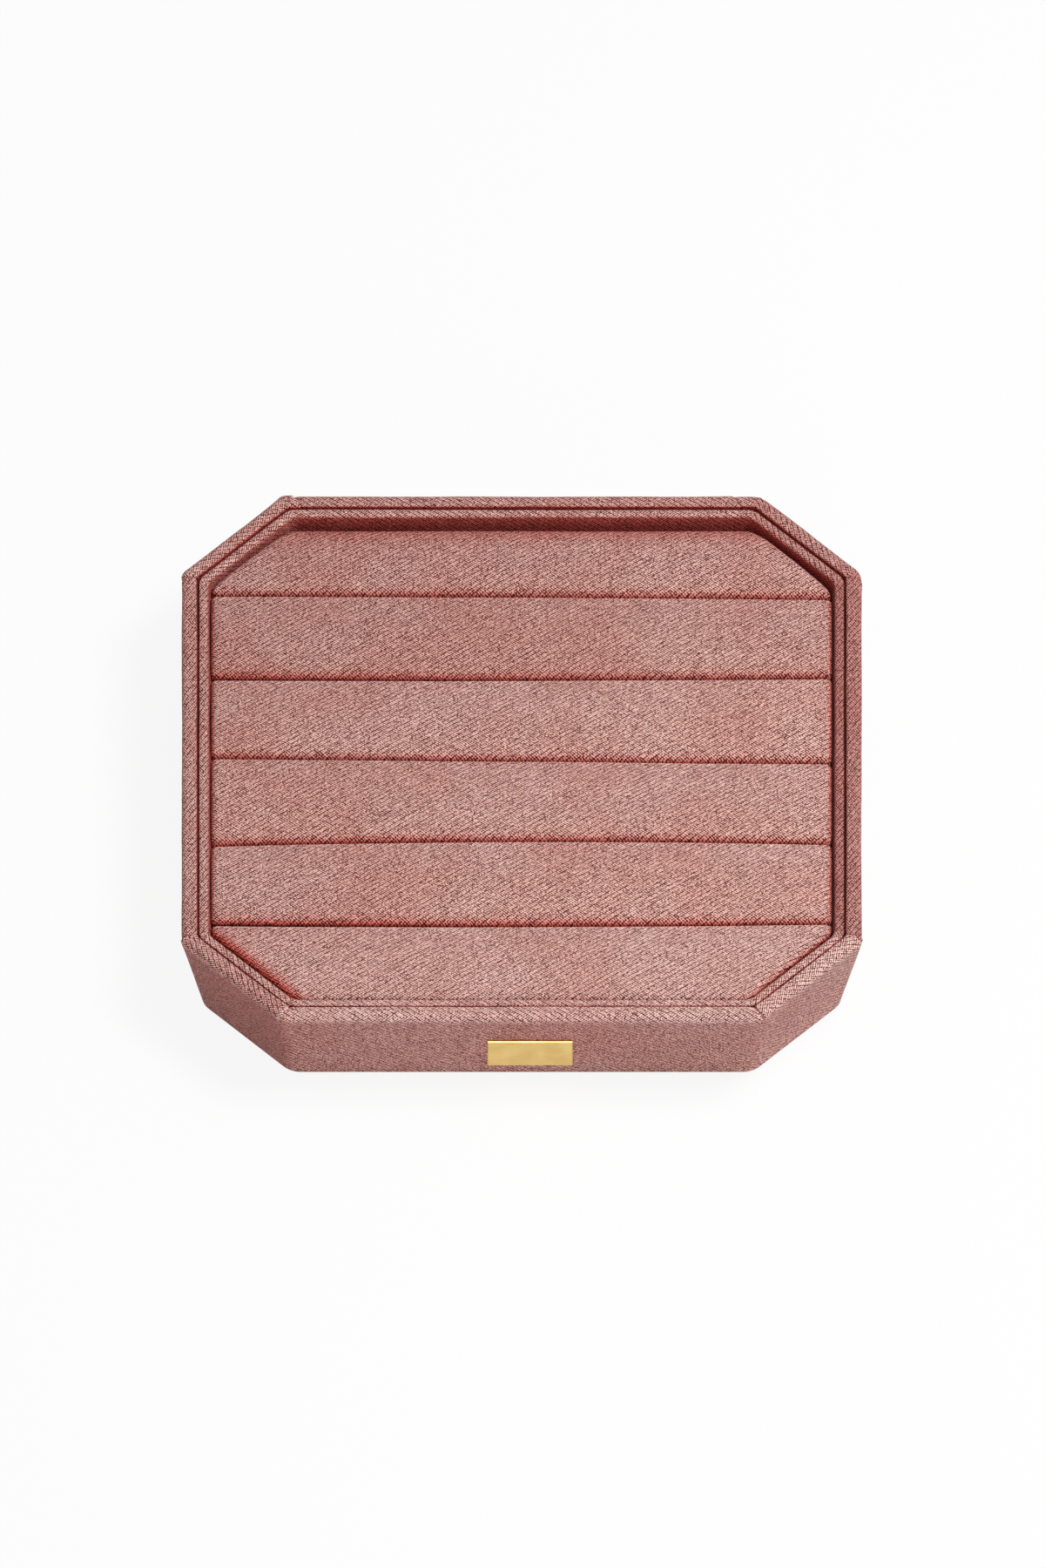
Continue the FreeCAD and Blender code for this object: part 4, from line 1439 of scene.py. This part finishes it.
@dataclass
class RingBar:
    """One padded bar of the insert."""

    number: int
    row: Row
    front: float
    back: float
    nap_and_light: float
    half_width: float = 91.46
    shift: float = -0.08
    corner_sum: float = 157.0
    dark: Pair = (1.0, 1.0)
    top: float = 32.5
    foot: float = 6.15
    crown: float = 0.9
    front_radius: float = 2.8
    back_radius: float = 1.0
    last_radius: float = 3.0
    end_radius: float = 2.0
    end_lean: float = 0.233
    front_lean: float = 0.225
    back_lean: float = 0.127
    corner_lean: float = 0.2
    foot_share: float = 0.9
    edge_angles: tuple[int, ...] = (0, 15, 30, 45, 60, 75, 90)
    column_step: float = 2.6
    row_step: float = 2.2
    side_rows: int = 8
    halvings: int = 40
    over_limit: float = 1.000001
    # Painted shade at each edge of a bar: a red glow and a dark line, with a painted highlight on the back
    # edge of each slit.
    right_end: EdgeShade = EdgeShade(1.8, 0.9, 0.5)
    left_end: EdgeShade = EdgeShade(2.0, 1.1, 0.25)
    slit_front: EdgeShade = EdgeShade(3.4, 0.95, 0.6, dark=0.5)
    slit_back: EdgeShade = EdgeShade(0.4, 0.4, 0.2, nap_and_light=0.8)
    insert_front: EdgeShade = EdgeShade(0.8, 0.3, 0.1)
    insert_back: EdgeShade = EdgeShade(9.6, 0.75, 0.3)
    back_cut: EdgeShade = EdgeShade(1.6, 0.6, 0.5)
    front_right_cut: EdgeShade = EdgeShade(1.9, 0.7, 0.3)
    front_left_cut: EdgeShade = EdgeShade(5.0, 1.2, 0.8, dark=0.15)
    # Painted light rising towards each bar's right end, the band of the edges' painted highlight, and
    # painted shade where edges meet and down the sides, deeper at the right end.
    light_slope: float = 0.09
    highlight_band: Pair = (0.98, 0.28)
    corner_reach: float = 2.6
    side_shade: float = 1.3
    side_fade: float = 3.2
    side_least: float = 0.25
    right_side_shade: float = 0.2
    right_share: float = 0.2

    def sides(self) -> list[BarSide]:
        """Lists the bar's upright sides.

        Returns:
            Ends, front, back and cut corners.
        """
        slant = math.sqrt(0.5)
        front, front_lean = self.slit_front, 0.0
        back, back_lean, back_radius = self.slit_back, 0.0, self.back_radius
        cuts = []
        if self.row is Row.FRONT:
            front, front_lean = self.insert_front, self.front_lean
            cuts = [((slant, -slant), self.front_right_cut), ((-slant, -slant), self.front_left_cut)]
        if self.row is Row.BACK:
            back, back_lean, back_radius = self.insert_back, self.back_lean, self.last_radius
            cuts = [((slant, slant), self.back_cut), ((-slant, slant), self.back_cut)]
        found = [
            BarSide((1.0, 0.0), self.half_width, self.end_lean, self.end_radius, self.right_end),
            BarSide((-1.0, 0.0), self.half_width, self.end_lean, self.end_radius, self.left_end),
            BarSide(FRONTWARDS, -self.front, front_lean, self.front_radius, front),
            BarSide((0.0, 1.0), self.back, back_lean, back_radius, back),
        ]
        reach = self.corner_sum * slant
        return found + [BarSide(out, reach, self.corner_lean, self.end_radius, shade) for out, shade in cuts]

    def roll(self, points: np.ndarray) -> tuple[np.ndarray, ...]:
        """Works out how far over the rounded edges each place in plan is.

        Args:
            points: places in plan.

        Returns:
            The share of the way over the edge, its radius, the way out, the lean, the painted shade, and the
            painted light and shade.
        """
        over, radius, lean, crease, near = (np.zeros(len(points)) for _ in range(5))
        out = np.zeros((len(points), 2))
        along = points[:, 0] / self.half_width
        # Painted light: each bar turns paler towards its right end.
        nap_and_light = self.nap_and_light + self.light_slope * along
        left, right = self.dark
        slit_dark = left + (right - left) * ramp(along, -1.0, 1.0)
        for side in self.sides():
            gap = side.gap(points)
            past = np.maximum(0.0, 1.0 - gap / side.radius)
            over += past**2
            radius += past**2 * side.radius
            lean += past**2 * side.lean
            out += past[:, None] * np.array(side.out)
            # Painted shade beside each edge and a painted highlight beside a slit's back edge; nearly black
            # where two edges meet.
            dark = slit_dark if side.out == FRONTWARDS else 1.0
            crease = np.maximum(crease, side.crease(gap, dark))
            nap_and_light += side.shade.nap_and_light * ramp(gap, *self.highlight_band)
            near += ramp(gap, self.corner_reach, 0.0)
        crease = np.maximum(crease, DEEPEST_SHADE * np.clip(near - 1.0, 0, 1))
        whole = np.maximum(over, TINY)
        out /= np.maximum(np.linalg.norm(out, axis=1, keepdims=True), TINY)
        return np.sqrt(over), radius / whole, out, lean / whole, np.minimum(crease, DEEPEST_SHADE), nap_and_light

    def places(self, length: float, step: float, radii: Pair) -> np.ndarray:
        """Lays grid lines across a length, close together round both edges.

        Args:
            length: the whole length.
            step: the distance between lines away from the edges.
            radii: the radius of the first and of the last edge.

        Returns:
            Their distances, from 0 to the length.
        """
        curve = [1 - math.cos(math.radians(angle)) for angle in self.edge_angles]
        first = [radii[0] * share for share in curve]
        last = [length - radii[1] * share for share in curve[::-1]]
        middle = np.linspace(first[-1], last[0], max(4, round((last[0] - first[-1]) / step)))
        return np.array(first[:-1] + list(middle) + last[1:])

    def half_span(self, y: float) -> float:
        """Finds half the bar's length at a place across it, by halving.

        Args:
            y: the place, from front to back.

        Returns:
            The largest distance from the middle that is still on the bar.
        """
        low, high = 0.0, self.half_width
        for _ in range(self.halvings):
            middle = (low + high) / 2
            over = self.roll(np.array([[middle, y]]))[0][0]
            low, high = (middle, high) if over <= self.over_limit else (low, middle)
        return low

    def plan(self) -> np.ndarray:
        """Lays out the grid of the bar's top.

        Returns:
            Places in plan, in rows from front to back.
        """
        columns = self.places(2 * self.half_width, self.column_step, (self.end_radius, self.end_radius))
        edge = len(self.edge_angles) - 1
        rows = []
        radii = (self.front_radius, self.back_radius)
        for spot in self.places(self.back - self.front, self.row_step, radii):
            y = self.front + spot
            half = self.half_span(y)
            xs = columns - self.half_width
            inner = half - self.end_radius
            xs[edge:-edge] *= inner / (self.half_width - self.end_radius)
            xs[:edge] += self.half_width - half
            xs[-edge:] -= self.half_width - half
            rows.append(np.column_stack([xs, np.full(len(xs), y)]))
        return np.array(rows)

    def blank(self) -> Piece:
        """Makes the bar before it is shaped: a crowned top, rolled edges, leaning sides and a flat foot.

        Returns:
            The closed bar with the cloth's map, linked into the scene.
        """
        plan = self.plan()
        rows, columns = plan.shape[:2]
        flat = plan.reshape(-1, 2)
        over, radius, out, lean, crease, nap_and_light = self.roll(flat)
        over = np.minimum(over, 1.0)
        middle, half = (self.front + self.back) / 2, (self.back - self.front) / 2
        crest = self.top - self.crown * ((flat[:, 1] - middle) / half) ** 2
        height = crest - radius * (1 - np.sqrt(np.maximum(1 - over**2, 0.0)))
        grid = GridMesh()
        numbers = grid.add_points(np.column_stack([flat, height]), 1 - over**2, crease, nap_and_light)
        grid.add_grid(numbers.reshape(rows, columns), plan)
        rim = [(0, i) for i in range(columns - 1)]
        rim += [(j, columns - 1) for j in range(rows - 1)]
        rim += [(rows - 1, i) for i in range(columns - 1, 0, -1)]
        rim += [(j, 0) for j in range(rows - 1, 0, -1)]
        edge = np.array([j * columns + i for j, i in rim])
        side_numbers, side_spots = [numbers[edge]], [flat[edge]]
        # Painted shade down the bar's sides: red near the top, fading lower down, and darker at the right
        # end.
        on_right = self.right_side_shade * (out[edge, 0] > 0.5)
        for share in np.linspace(0, 1, self.side_rows + 1)[1:]:
            down = (height[edge] - self.foot) * share
            places = flat[edge] - out[edge] * (lean[edge] * down)[:, None]
            points = np.column_stack([places, height[edge] - down])
            deep = max(self.side_least, self.side_shade - self.side_fade * share)
            deep = deep + on_right * (share < self.right_share)
            side_numbers.append(grid.add_points(points, 0.0, deep, self.nap_and_light))
            side_spots.append(flat[edge] + out[edge] * down[:, None])
        grid.add_grid(np.array(side_numbers), np.array(side_spots), closed=True, flipped=True)
        self.close_foot(grid, plan, rim, side_numbers[-1])
        name = f"ring_bar_{self.number}"
        return link_piece(name, grid.mesh(name))

    def close_foot(
        self, grid: GridMesh, plan: np.ndarray, rim: list[tuple[int, int]], last: np.ndarray
    ) -> None:
        """Closes the underside of the bar with its own grid.

        Args:
            grid: the mesh so far.
            plan: the grid of the bar's top.
            rim: the places of the top's edge in that grid.
            last: the numbers of the lowest points below that edge.
        """
        rows, columns = plan.shape[:2]
        tall = self.top - self.foot
        inner = plan[1:-1, 1:-1].reshape(-1, 2).copy()
        inner[:, 0] *= 1 - self.end_lean * tall / self.half_width
        middle = (self.front + self.back) / 2
        inner[:, 1] = middle + (inner[:, 1] - middle) * self.foot_share
        if self.row is Row.BACK:
            inner[:, 1] -= self.back_lean * tall / 2
        if self.row is Row.FRONT:
            inner[:, 1] += self.front_lean * tall / 2
        points = np.column_stack([inner, np.full(len(inner), self.foot)])
        foot = np.zeros((rows, columns), int)
        # The foot is painted nearly black, as shade.
        foot[1:-1, 1:-1] = grid.add_points(points, 0.0, DEEPEST_SHADE).reshape(rows - 2, columns - 2)
        for place, number in zip(rim, last):
            foot[place] = number
        grid.add_grid(foot, plan, flipped=True)


@dataclass(frozen=True)
class PaddingPress:
    """How the cloth of a bar is drawn over its foam: a short cloth simulation with its travel limited."""

    pressure: float = 4.0
    frames: int = 20
    travel: float = 0.7
    held_below: float = 3.0
    quality: int = 6
    mass: float = 0.2
    stretch: float = 20.0
    shear: float = 10.0
    bending: float = 2.0

    def add_cloth(self, piece: Piece, held: str) -> bpy.types.Modifier:
        """Puts the simulation on a bar.

        Args:
            piece: the shaped bar.
            held: the group of points that stay where they are.

        Returns:
            The cloth modifier.
        """
        cloth = piece.modifiers.new("cloth", "CLOTH")
        settings = cloth.settings
        settings.quality = self.quality
        settings.mass = self.mass
        settings.tension_stiffness = self.stretch
        settings.compression_stiffness = self.stretch
        settings.shear_stiffness = self.shear
        settings.bending_stiffness = self.bending
        settings.vertex_group_mass = held
        settings.use_pressure = True
        settings.uniform_pressure_force = self.pressure
        settings.effector_weights.gravity = 0
        cloth.collision_settings.use_collision = False
        cloth.point_cache.frame_start = 1
        cloth.point_cache.frame_end = self.frames
        return cloth

    def press(self, piece: Piece, top: float) -> None:
        """Swells a bar's top and keeps its foot where it is.

        Args:
            piece: the shaped bar.
            top: the height of its crown, in millimetres.
        """
        scene = bpy.context.scene
        before = points_of(piece.data)
        held = ramp(before[:, 2], top * MM, (top - self.held_below) * MM)
        group = piece.vertex_groups.new(name="held")
        for index, weight in enumerate(held):
            group.add([index], float(weight), "REPLACE")
        cloth = self.add_cloth(piece, group.name)
        for number in range(1, self.frames + 1):
            scene.frame_set(number)
        graph = bpy.context.evaluated_depsgraph_get()
        move = points_of(piece.evaluated_get(graph).data) - before
        size = np.linalg.norm(move, axis=1, keepdims=True)
        move *= np.minimum(1.0, self.travel * MM / np.maximum(size, TINY * MM))
        move *= (1.0 - held)[:, None]
        most, free = float(np.abs(move).max() / MM), float(size.max() / MM)
        LOG.info("%s swells %.2f mm at most, %.2f before its limit", piece.name, most, free)
        piece.modifiers.remove(cloth)
        piece.vertex_groups.remove(group)
        scene.frame_set(1)
        piece.data.vertices.foreach_set("co", (before + move).astype(np.float32).ravel())
        piece.data.update()


@dataclass
class RingInsert:
    """The padded bars of the insert from back to front, with a slit between every two."""

    outer_slit: float = 62.68
    back_edge: float = 88.88
    front_edge: float = -91.3
    front_corner_sum: float = 158.2
    front_roll: float = 1.1
    slit_gap: float = 0.6
    settle: float = 0.9
    settle_size: float = 38.0
    seed_step: float = 2.7
    press: PaddingPress = PaddingPress()
    # Painted light and shade of each bar, from back to front: deeper towards the back.
    bar_light_and_shade: tuple[float, ...] = (-0.26, -0.28, -0.1, -0.08, -0.04, 0.08)
    slits: tuple[Slit, ...] = (
        Slit(0.5, 0.1, -0.8, (0.8, 0.85)),
        Slit(-0.2, -0.35, 0.35, (1.15, 0.85)),
        Slit(1.1, 0.1, -0.9, (0.85, 0.8)),
        Slit(-1.1, 0.8, -0.4, (1.0, 0.8)),
        Slit(0.0, -0.35, 0.6, (1.25, 0.85)),
    )

    def bars(self) -> list[RingBar]:
        """Lays out the bars, each between its two slits.

        Returns:
            The bars from back to front.
        """
        count = len(self.bar_light_and_shade)
        pitch = 2 * self.outer_slit / (count - 2)
        lines = [self.outer_slit - pitch * k for k in range(count - 1)]
        half_gap = self.slit_gap / 2
        fronts = [line + half_gap for line in lines] + [self.front_edge]
        backs = [self.back_edge] + [line - half_gap for line in lines]
        rows = [Row.BACK] + [Row.MIDDLE] * (count - 2) + [Row.FRONT]
        bars = [RingBar(k + 1, rows[k], fronts[k], backs[k], self.bar_light_and_shade[k]) for k in range(count)]
        for bar, slit in zip(bars, self.slits):
            bar.dark = slit.dark
        bars[-1].front_radius = self.front_roll
        bars[-1].corner_sum = self.front_corner_sum
        return bars

    def build(self, shaping: BarShaping, finish: Material) -> None:
        """Makes all the bars.

        Args:
            shaping: the tree that bends a bar to its slits.
            finish: the cloth's material.
        """
        slits = (Slit(), *self.slits, Slit())
        for bar in self.bars():
            piece = bar.blank()
            behind, ahead = slits[bar.number - 1], slits[bar.number]
            sizes = {"Half Width": bar.half_width, "Shift": bar.shift}
            sizes |= {"Front Edge": bar.front, "Back Edge": bar.back}
            sizes |= {"Settle": self.settle, "Settle Size": self.settle_size}
            sizes |= ahead.sizes("Front") | behind.sizes("Back")
            shaping.apply(piece, finish, self.seed_step * bar.number, sizes)
            self.press.press(piece, bar.top)
            smooth = piece.modifiers.new("smooth", "SUBSURF")
            smooth.levels = smooth.render_levels = 1
            plain_mesh(piece)
            nodes = [f"bar_{bar.number}_{layer}" for layer in ("cover", "foam")]
            finish_piece(piece, Body.INSERT, Slot.TWILL, *nodes)


@dataclass
class BottomFelt:
    """The felt glued under the tray: pressed at its edge and raised into the window that the hem leaves."""

    shape: TrayShape
    inset: float = 2.5
    hem: float = 12.0
    hem_gap: float = 0.1
    fill: float = 0.75
    bevel: float = 0.3
    edge_press: float = 0.25
    window_press: float = 0.2
    upper_steps: Pair = (25.0, 12.0)
    lower_steps: Place = (8.0, 20.0, 34.0)
    long_columns: int = 25
    short_columns: int = 9
    bend: float = 1.0
    turns: Pair = (0.33, 0.67)

    def levels(self) -> list[Pair]:
        """Draws the felt's section from the middle of its top to the middle of its underside.

        Returns:
            Inset and height of each ring of points.
        """
        felt = self.shape.felt
        foot = self.shape.leaned(0.0, felt)
        edge, window = foot + self.inset, foot + self.hem + self.hem_gap
        raised = felt + self.fill
        levels = [(window + step, raised) for step in (*self.upper_steps, self.bevel)]
        levels += [(window, raised - self.window_press), (window, felt)]
        levels += [(edge + self.bevel, felt), (edge, felt - self.edge_press), (edge, self.edge_press)]
        return levels + [(edge + step, 0.0) for step in (self.bevel, *self.lower_steps)]

    def build(self, finish: Material) -> None:
        """Makes the felt and lays it under the tray.

        Args:
            finish: the felt's material.
        """
        counts = [self.short_columns if side % 2 else self.long_columns for side in range(SIDES)]
        shares = [np.linspace(0, 1, count) for count in counts]
        bends, turns = np.full(SIDES, self.bend), np.array(self.turns)
        grid = GridMesh()
        rings, spots = [], []
        for inset, height in self.levels():
            flat = self.shape.ring(inset, bends, shares, turns)
            rings.append(grid.add_points(np.column_stack([flat, np.full(len(flat), height)])))
            spots.append(flat)
        grid.add_grid(np.array(rings), np.array(spots), closed=True)
        grid.add_face(tuple(rings[0][::-1]), tuple(map(tuple, spots[0][::-1])))
        grid.add_face(tuple(rings[-1]), tuple(map(tuple, spots[-1])))
        felt = link_piece("bottom_felt_sheet", grid.mesh("bottom_felt_sheet"))
        felt.data.materials.append(finish)
        finish_piece(felt, Body.TRAY, Slot.FELT, "bottom_felt")


class Boards:
    """The rigid pieces that keep their CAD shapes and only need their finishes."""

    WALLS = ("front", "front_right", "right", "back_right", "back", "back_left", "left", "front_left")

    def dress(self, finishes: Finishes) -> None:
        """Gives the boards, the cards and the plate their materials.

        Args:
            finishes: the tray's finishes.
        """
        dressed = {"base_board": finishes.board, "liner_strip": finishes.card, "insert_card": finishes.card}
        dressed |= {f"{wall}_wall_board": finishes.board for wall in self.WALLS}
        dressed["nameplate"] = finishes.brass
        for node, finish in dressed.items():
            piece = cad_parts[node]
            piece.data.materials.clear()
            piece.data.materials.append(finish)
            LOG.info("%s keeps its shape: %s", node, finish.name)


@dataclass
class Studio:
    """A pale floor, soft light from above on the right and from the front, and a parallel camera.

    The camera's aim and the height of its view are in millimetres, other lengths in metres.
    """

    elevation: float = 50.3
    view_height: float = 460.9
    aim: Place = (0.256, -6.35, 28.23)
    camera_distance: float = 1.5
    camera_clip: Pair = (0.01, 20.0)
    key_power: float = 9.6
    key_place: Place = (0.52, 0.0, 1.08)
    key_size: float = 0.45
    front_power: float = 3.6
    front_place: Place = (0.1, -1.2, 0.36)
    front_size: float = 0.6
    fill: float = 0.34
    floor_reach: float = 6.0
    floor_level: float = -0.0001
    floor_colour: Colour = (0.9, 0.9, 0.9)
    floor_white: float = 0.89

    def build(self) -> None:
        """Makes the floor, the world, the lamps and the camera."""
        bpy.context.scene.view_settings.view_transform = "Standard"
        self.floor()
        self.world()
        self.lamp("key", self.key_place, self.key_size, self.key_power)
        self.lamp("front", self.front_place, self.front_size, self.front_power)
        self.camera()

    def add(self, name: str, data: bpy.types.ID) -> Piece:
        """Puts something of the studio into the scene.

        Args:
            name: its name.
            data: a mesh, a lamp or a camera.

        Returns:
            The object that holds it.
        """
        holder = bpy.data.objects.new(name, data)
        bpy.context.scene.collection.objects.link(holder)
        return holder

    def floor(self) -> None:
        """Lays a white floor that keeps a faint shadow and is clear from underneath."""
        mesh = bpy.data.meshes.new("floor")
        corners = ((-1, -1), (1, -1), (1, 1), (-1, 1))
        points = [(x * self.floor_reach, y * self.floor_reach, self.floor_level) for x, y in corners]
        mesh.from_pydata(points, [], [(0, 1, 2, 3)])
        floor = self.add("floor", mesh)
        material, tree, shader = new_material("white_floor")
        colour = (*self.floor_colour, 1.0)
        tree.feed(shader, {"Base Color": colour, "Roughness": 1.0, "Specular IOR Level": 0.0})
        glow = tree.add("ShaderNodeEmission", {"Strength": 1.0}).outputs[0]
        white = tree.math("MULTIPLY", self.seen(tree), self.floor_white)
        top = tree.add("ShaderNodeMixShader", {0: white, 1: shader.outputs[0], 2: glow}).outputs[0]
        underneath = tree.add("ShaderNodeNewGeometry").outputs["Backfacing"]
        clear = tree.add("ShaderNodeBsdfTransparent").outputs[0]
        both = tree.add("ShaderNodeMixShader", {0: underneath, 1: top, 2: clear}).outputs[0]
        tree.feed(material.node_tree.nodes["Material Output"], {0: both})
        mesh.materials.append(material)

    def seen(self, tree: NodeTree) -> Socket:
        """Finds the rays that show the surroundings directly, in metal or through something clear.

        Args:
            tree: the nodes of the floor or of the world.

        Returns:
            1 for those rays and 0 for others.
        """
        rays = tree.add("ShaderNodeLightPath").outputs
        direct = tree.math("MAXIMUM", rays["Is Camera Ray"], rays["Is Glossy Ray"])
        return tree.math("MAXIMUM", direct, rays["Is Transmission Ray"])

    def world(self) -> None:
        """Lights the tray evenly from all round, white where it is seen."""
        world = bpy.data.worlds.new("studio")
        bpy.context.scene.world = world
        world.use_nodes = True
        tree = NodeTree(world.node_tree)
        strength = tree.blend(self.seen(tree), self.fill, 1.0)
        back = world.node_tree.nodes["Background"]
        tree.feed(back, {"Color": (1.0, 1.0, 1.0, 1.0), "Strength": strength})

    def lamp(self, name: str, place: Place, size: float, power: float) -> None:
        """Hangs a soft square lamp that points at the tray.

        Args:
            name: the lamp's name.
            place: where it hangs.
            size: the length of its sides.
            power: its power, in watts.
        """
        light = bpy.data.lights.new(name, "AREA")
        light.shape = "SQUARE"
        light.size = size
        light.energy = power
        self.face(self.add(name, light), Vector(place), -Vector(place))

    def camera(self) -> None:
        """Sets up the parallel camera at the photograph's angle and scale."""
        data = bpy.data.cameras.new("camera")
        data.type = "ORTHO"
        data.ortho_scale = self.view_height * MM
        data.clip_start, data.clip_end = self.camera_clip
        angle = math.radians(self.elevation)
        back = Vector((0.0, -math.cos(angle), math.sin(angle)))
        camera = self.add("camera", data)
        self.face(camera, Vector(self.aim) * MM + back * self.camera_distance, -back)
        bpy.context.scene.camera = camera

    def face(self, holder: Piece, place: Vector, way: Vector) -> None:
        """Places a lamp or a camera and points it.

        Args:
            holder: the lamp or the camera.
            place: where it goes.
            way: the way that it looks.
        """
        holder.location = place
        holder.rotation_mode = "QUATERNION"
        holder.rotation_quaternion = way.to_track_quat("-Z", "Y")


def main() -> None:
    """Builds the studio and every piece of the tray in order."""
    Studio().build()
    shape = TrayShape()
    finishes = Finishes()
    uneven = UnevenCloth()
    Boards().dress(finishes)
    BottomFelt(shape).build(finishes.felt)
    OuterWrap(shape).build(uneven, finishes.twill)
    InnerLiner(shape).build(uneven, finishes.twill)
    RingInsert().build(BarShaping(), finishes.twill)


if __name__ == "__main__":
    main()
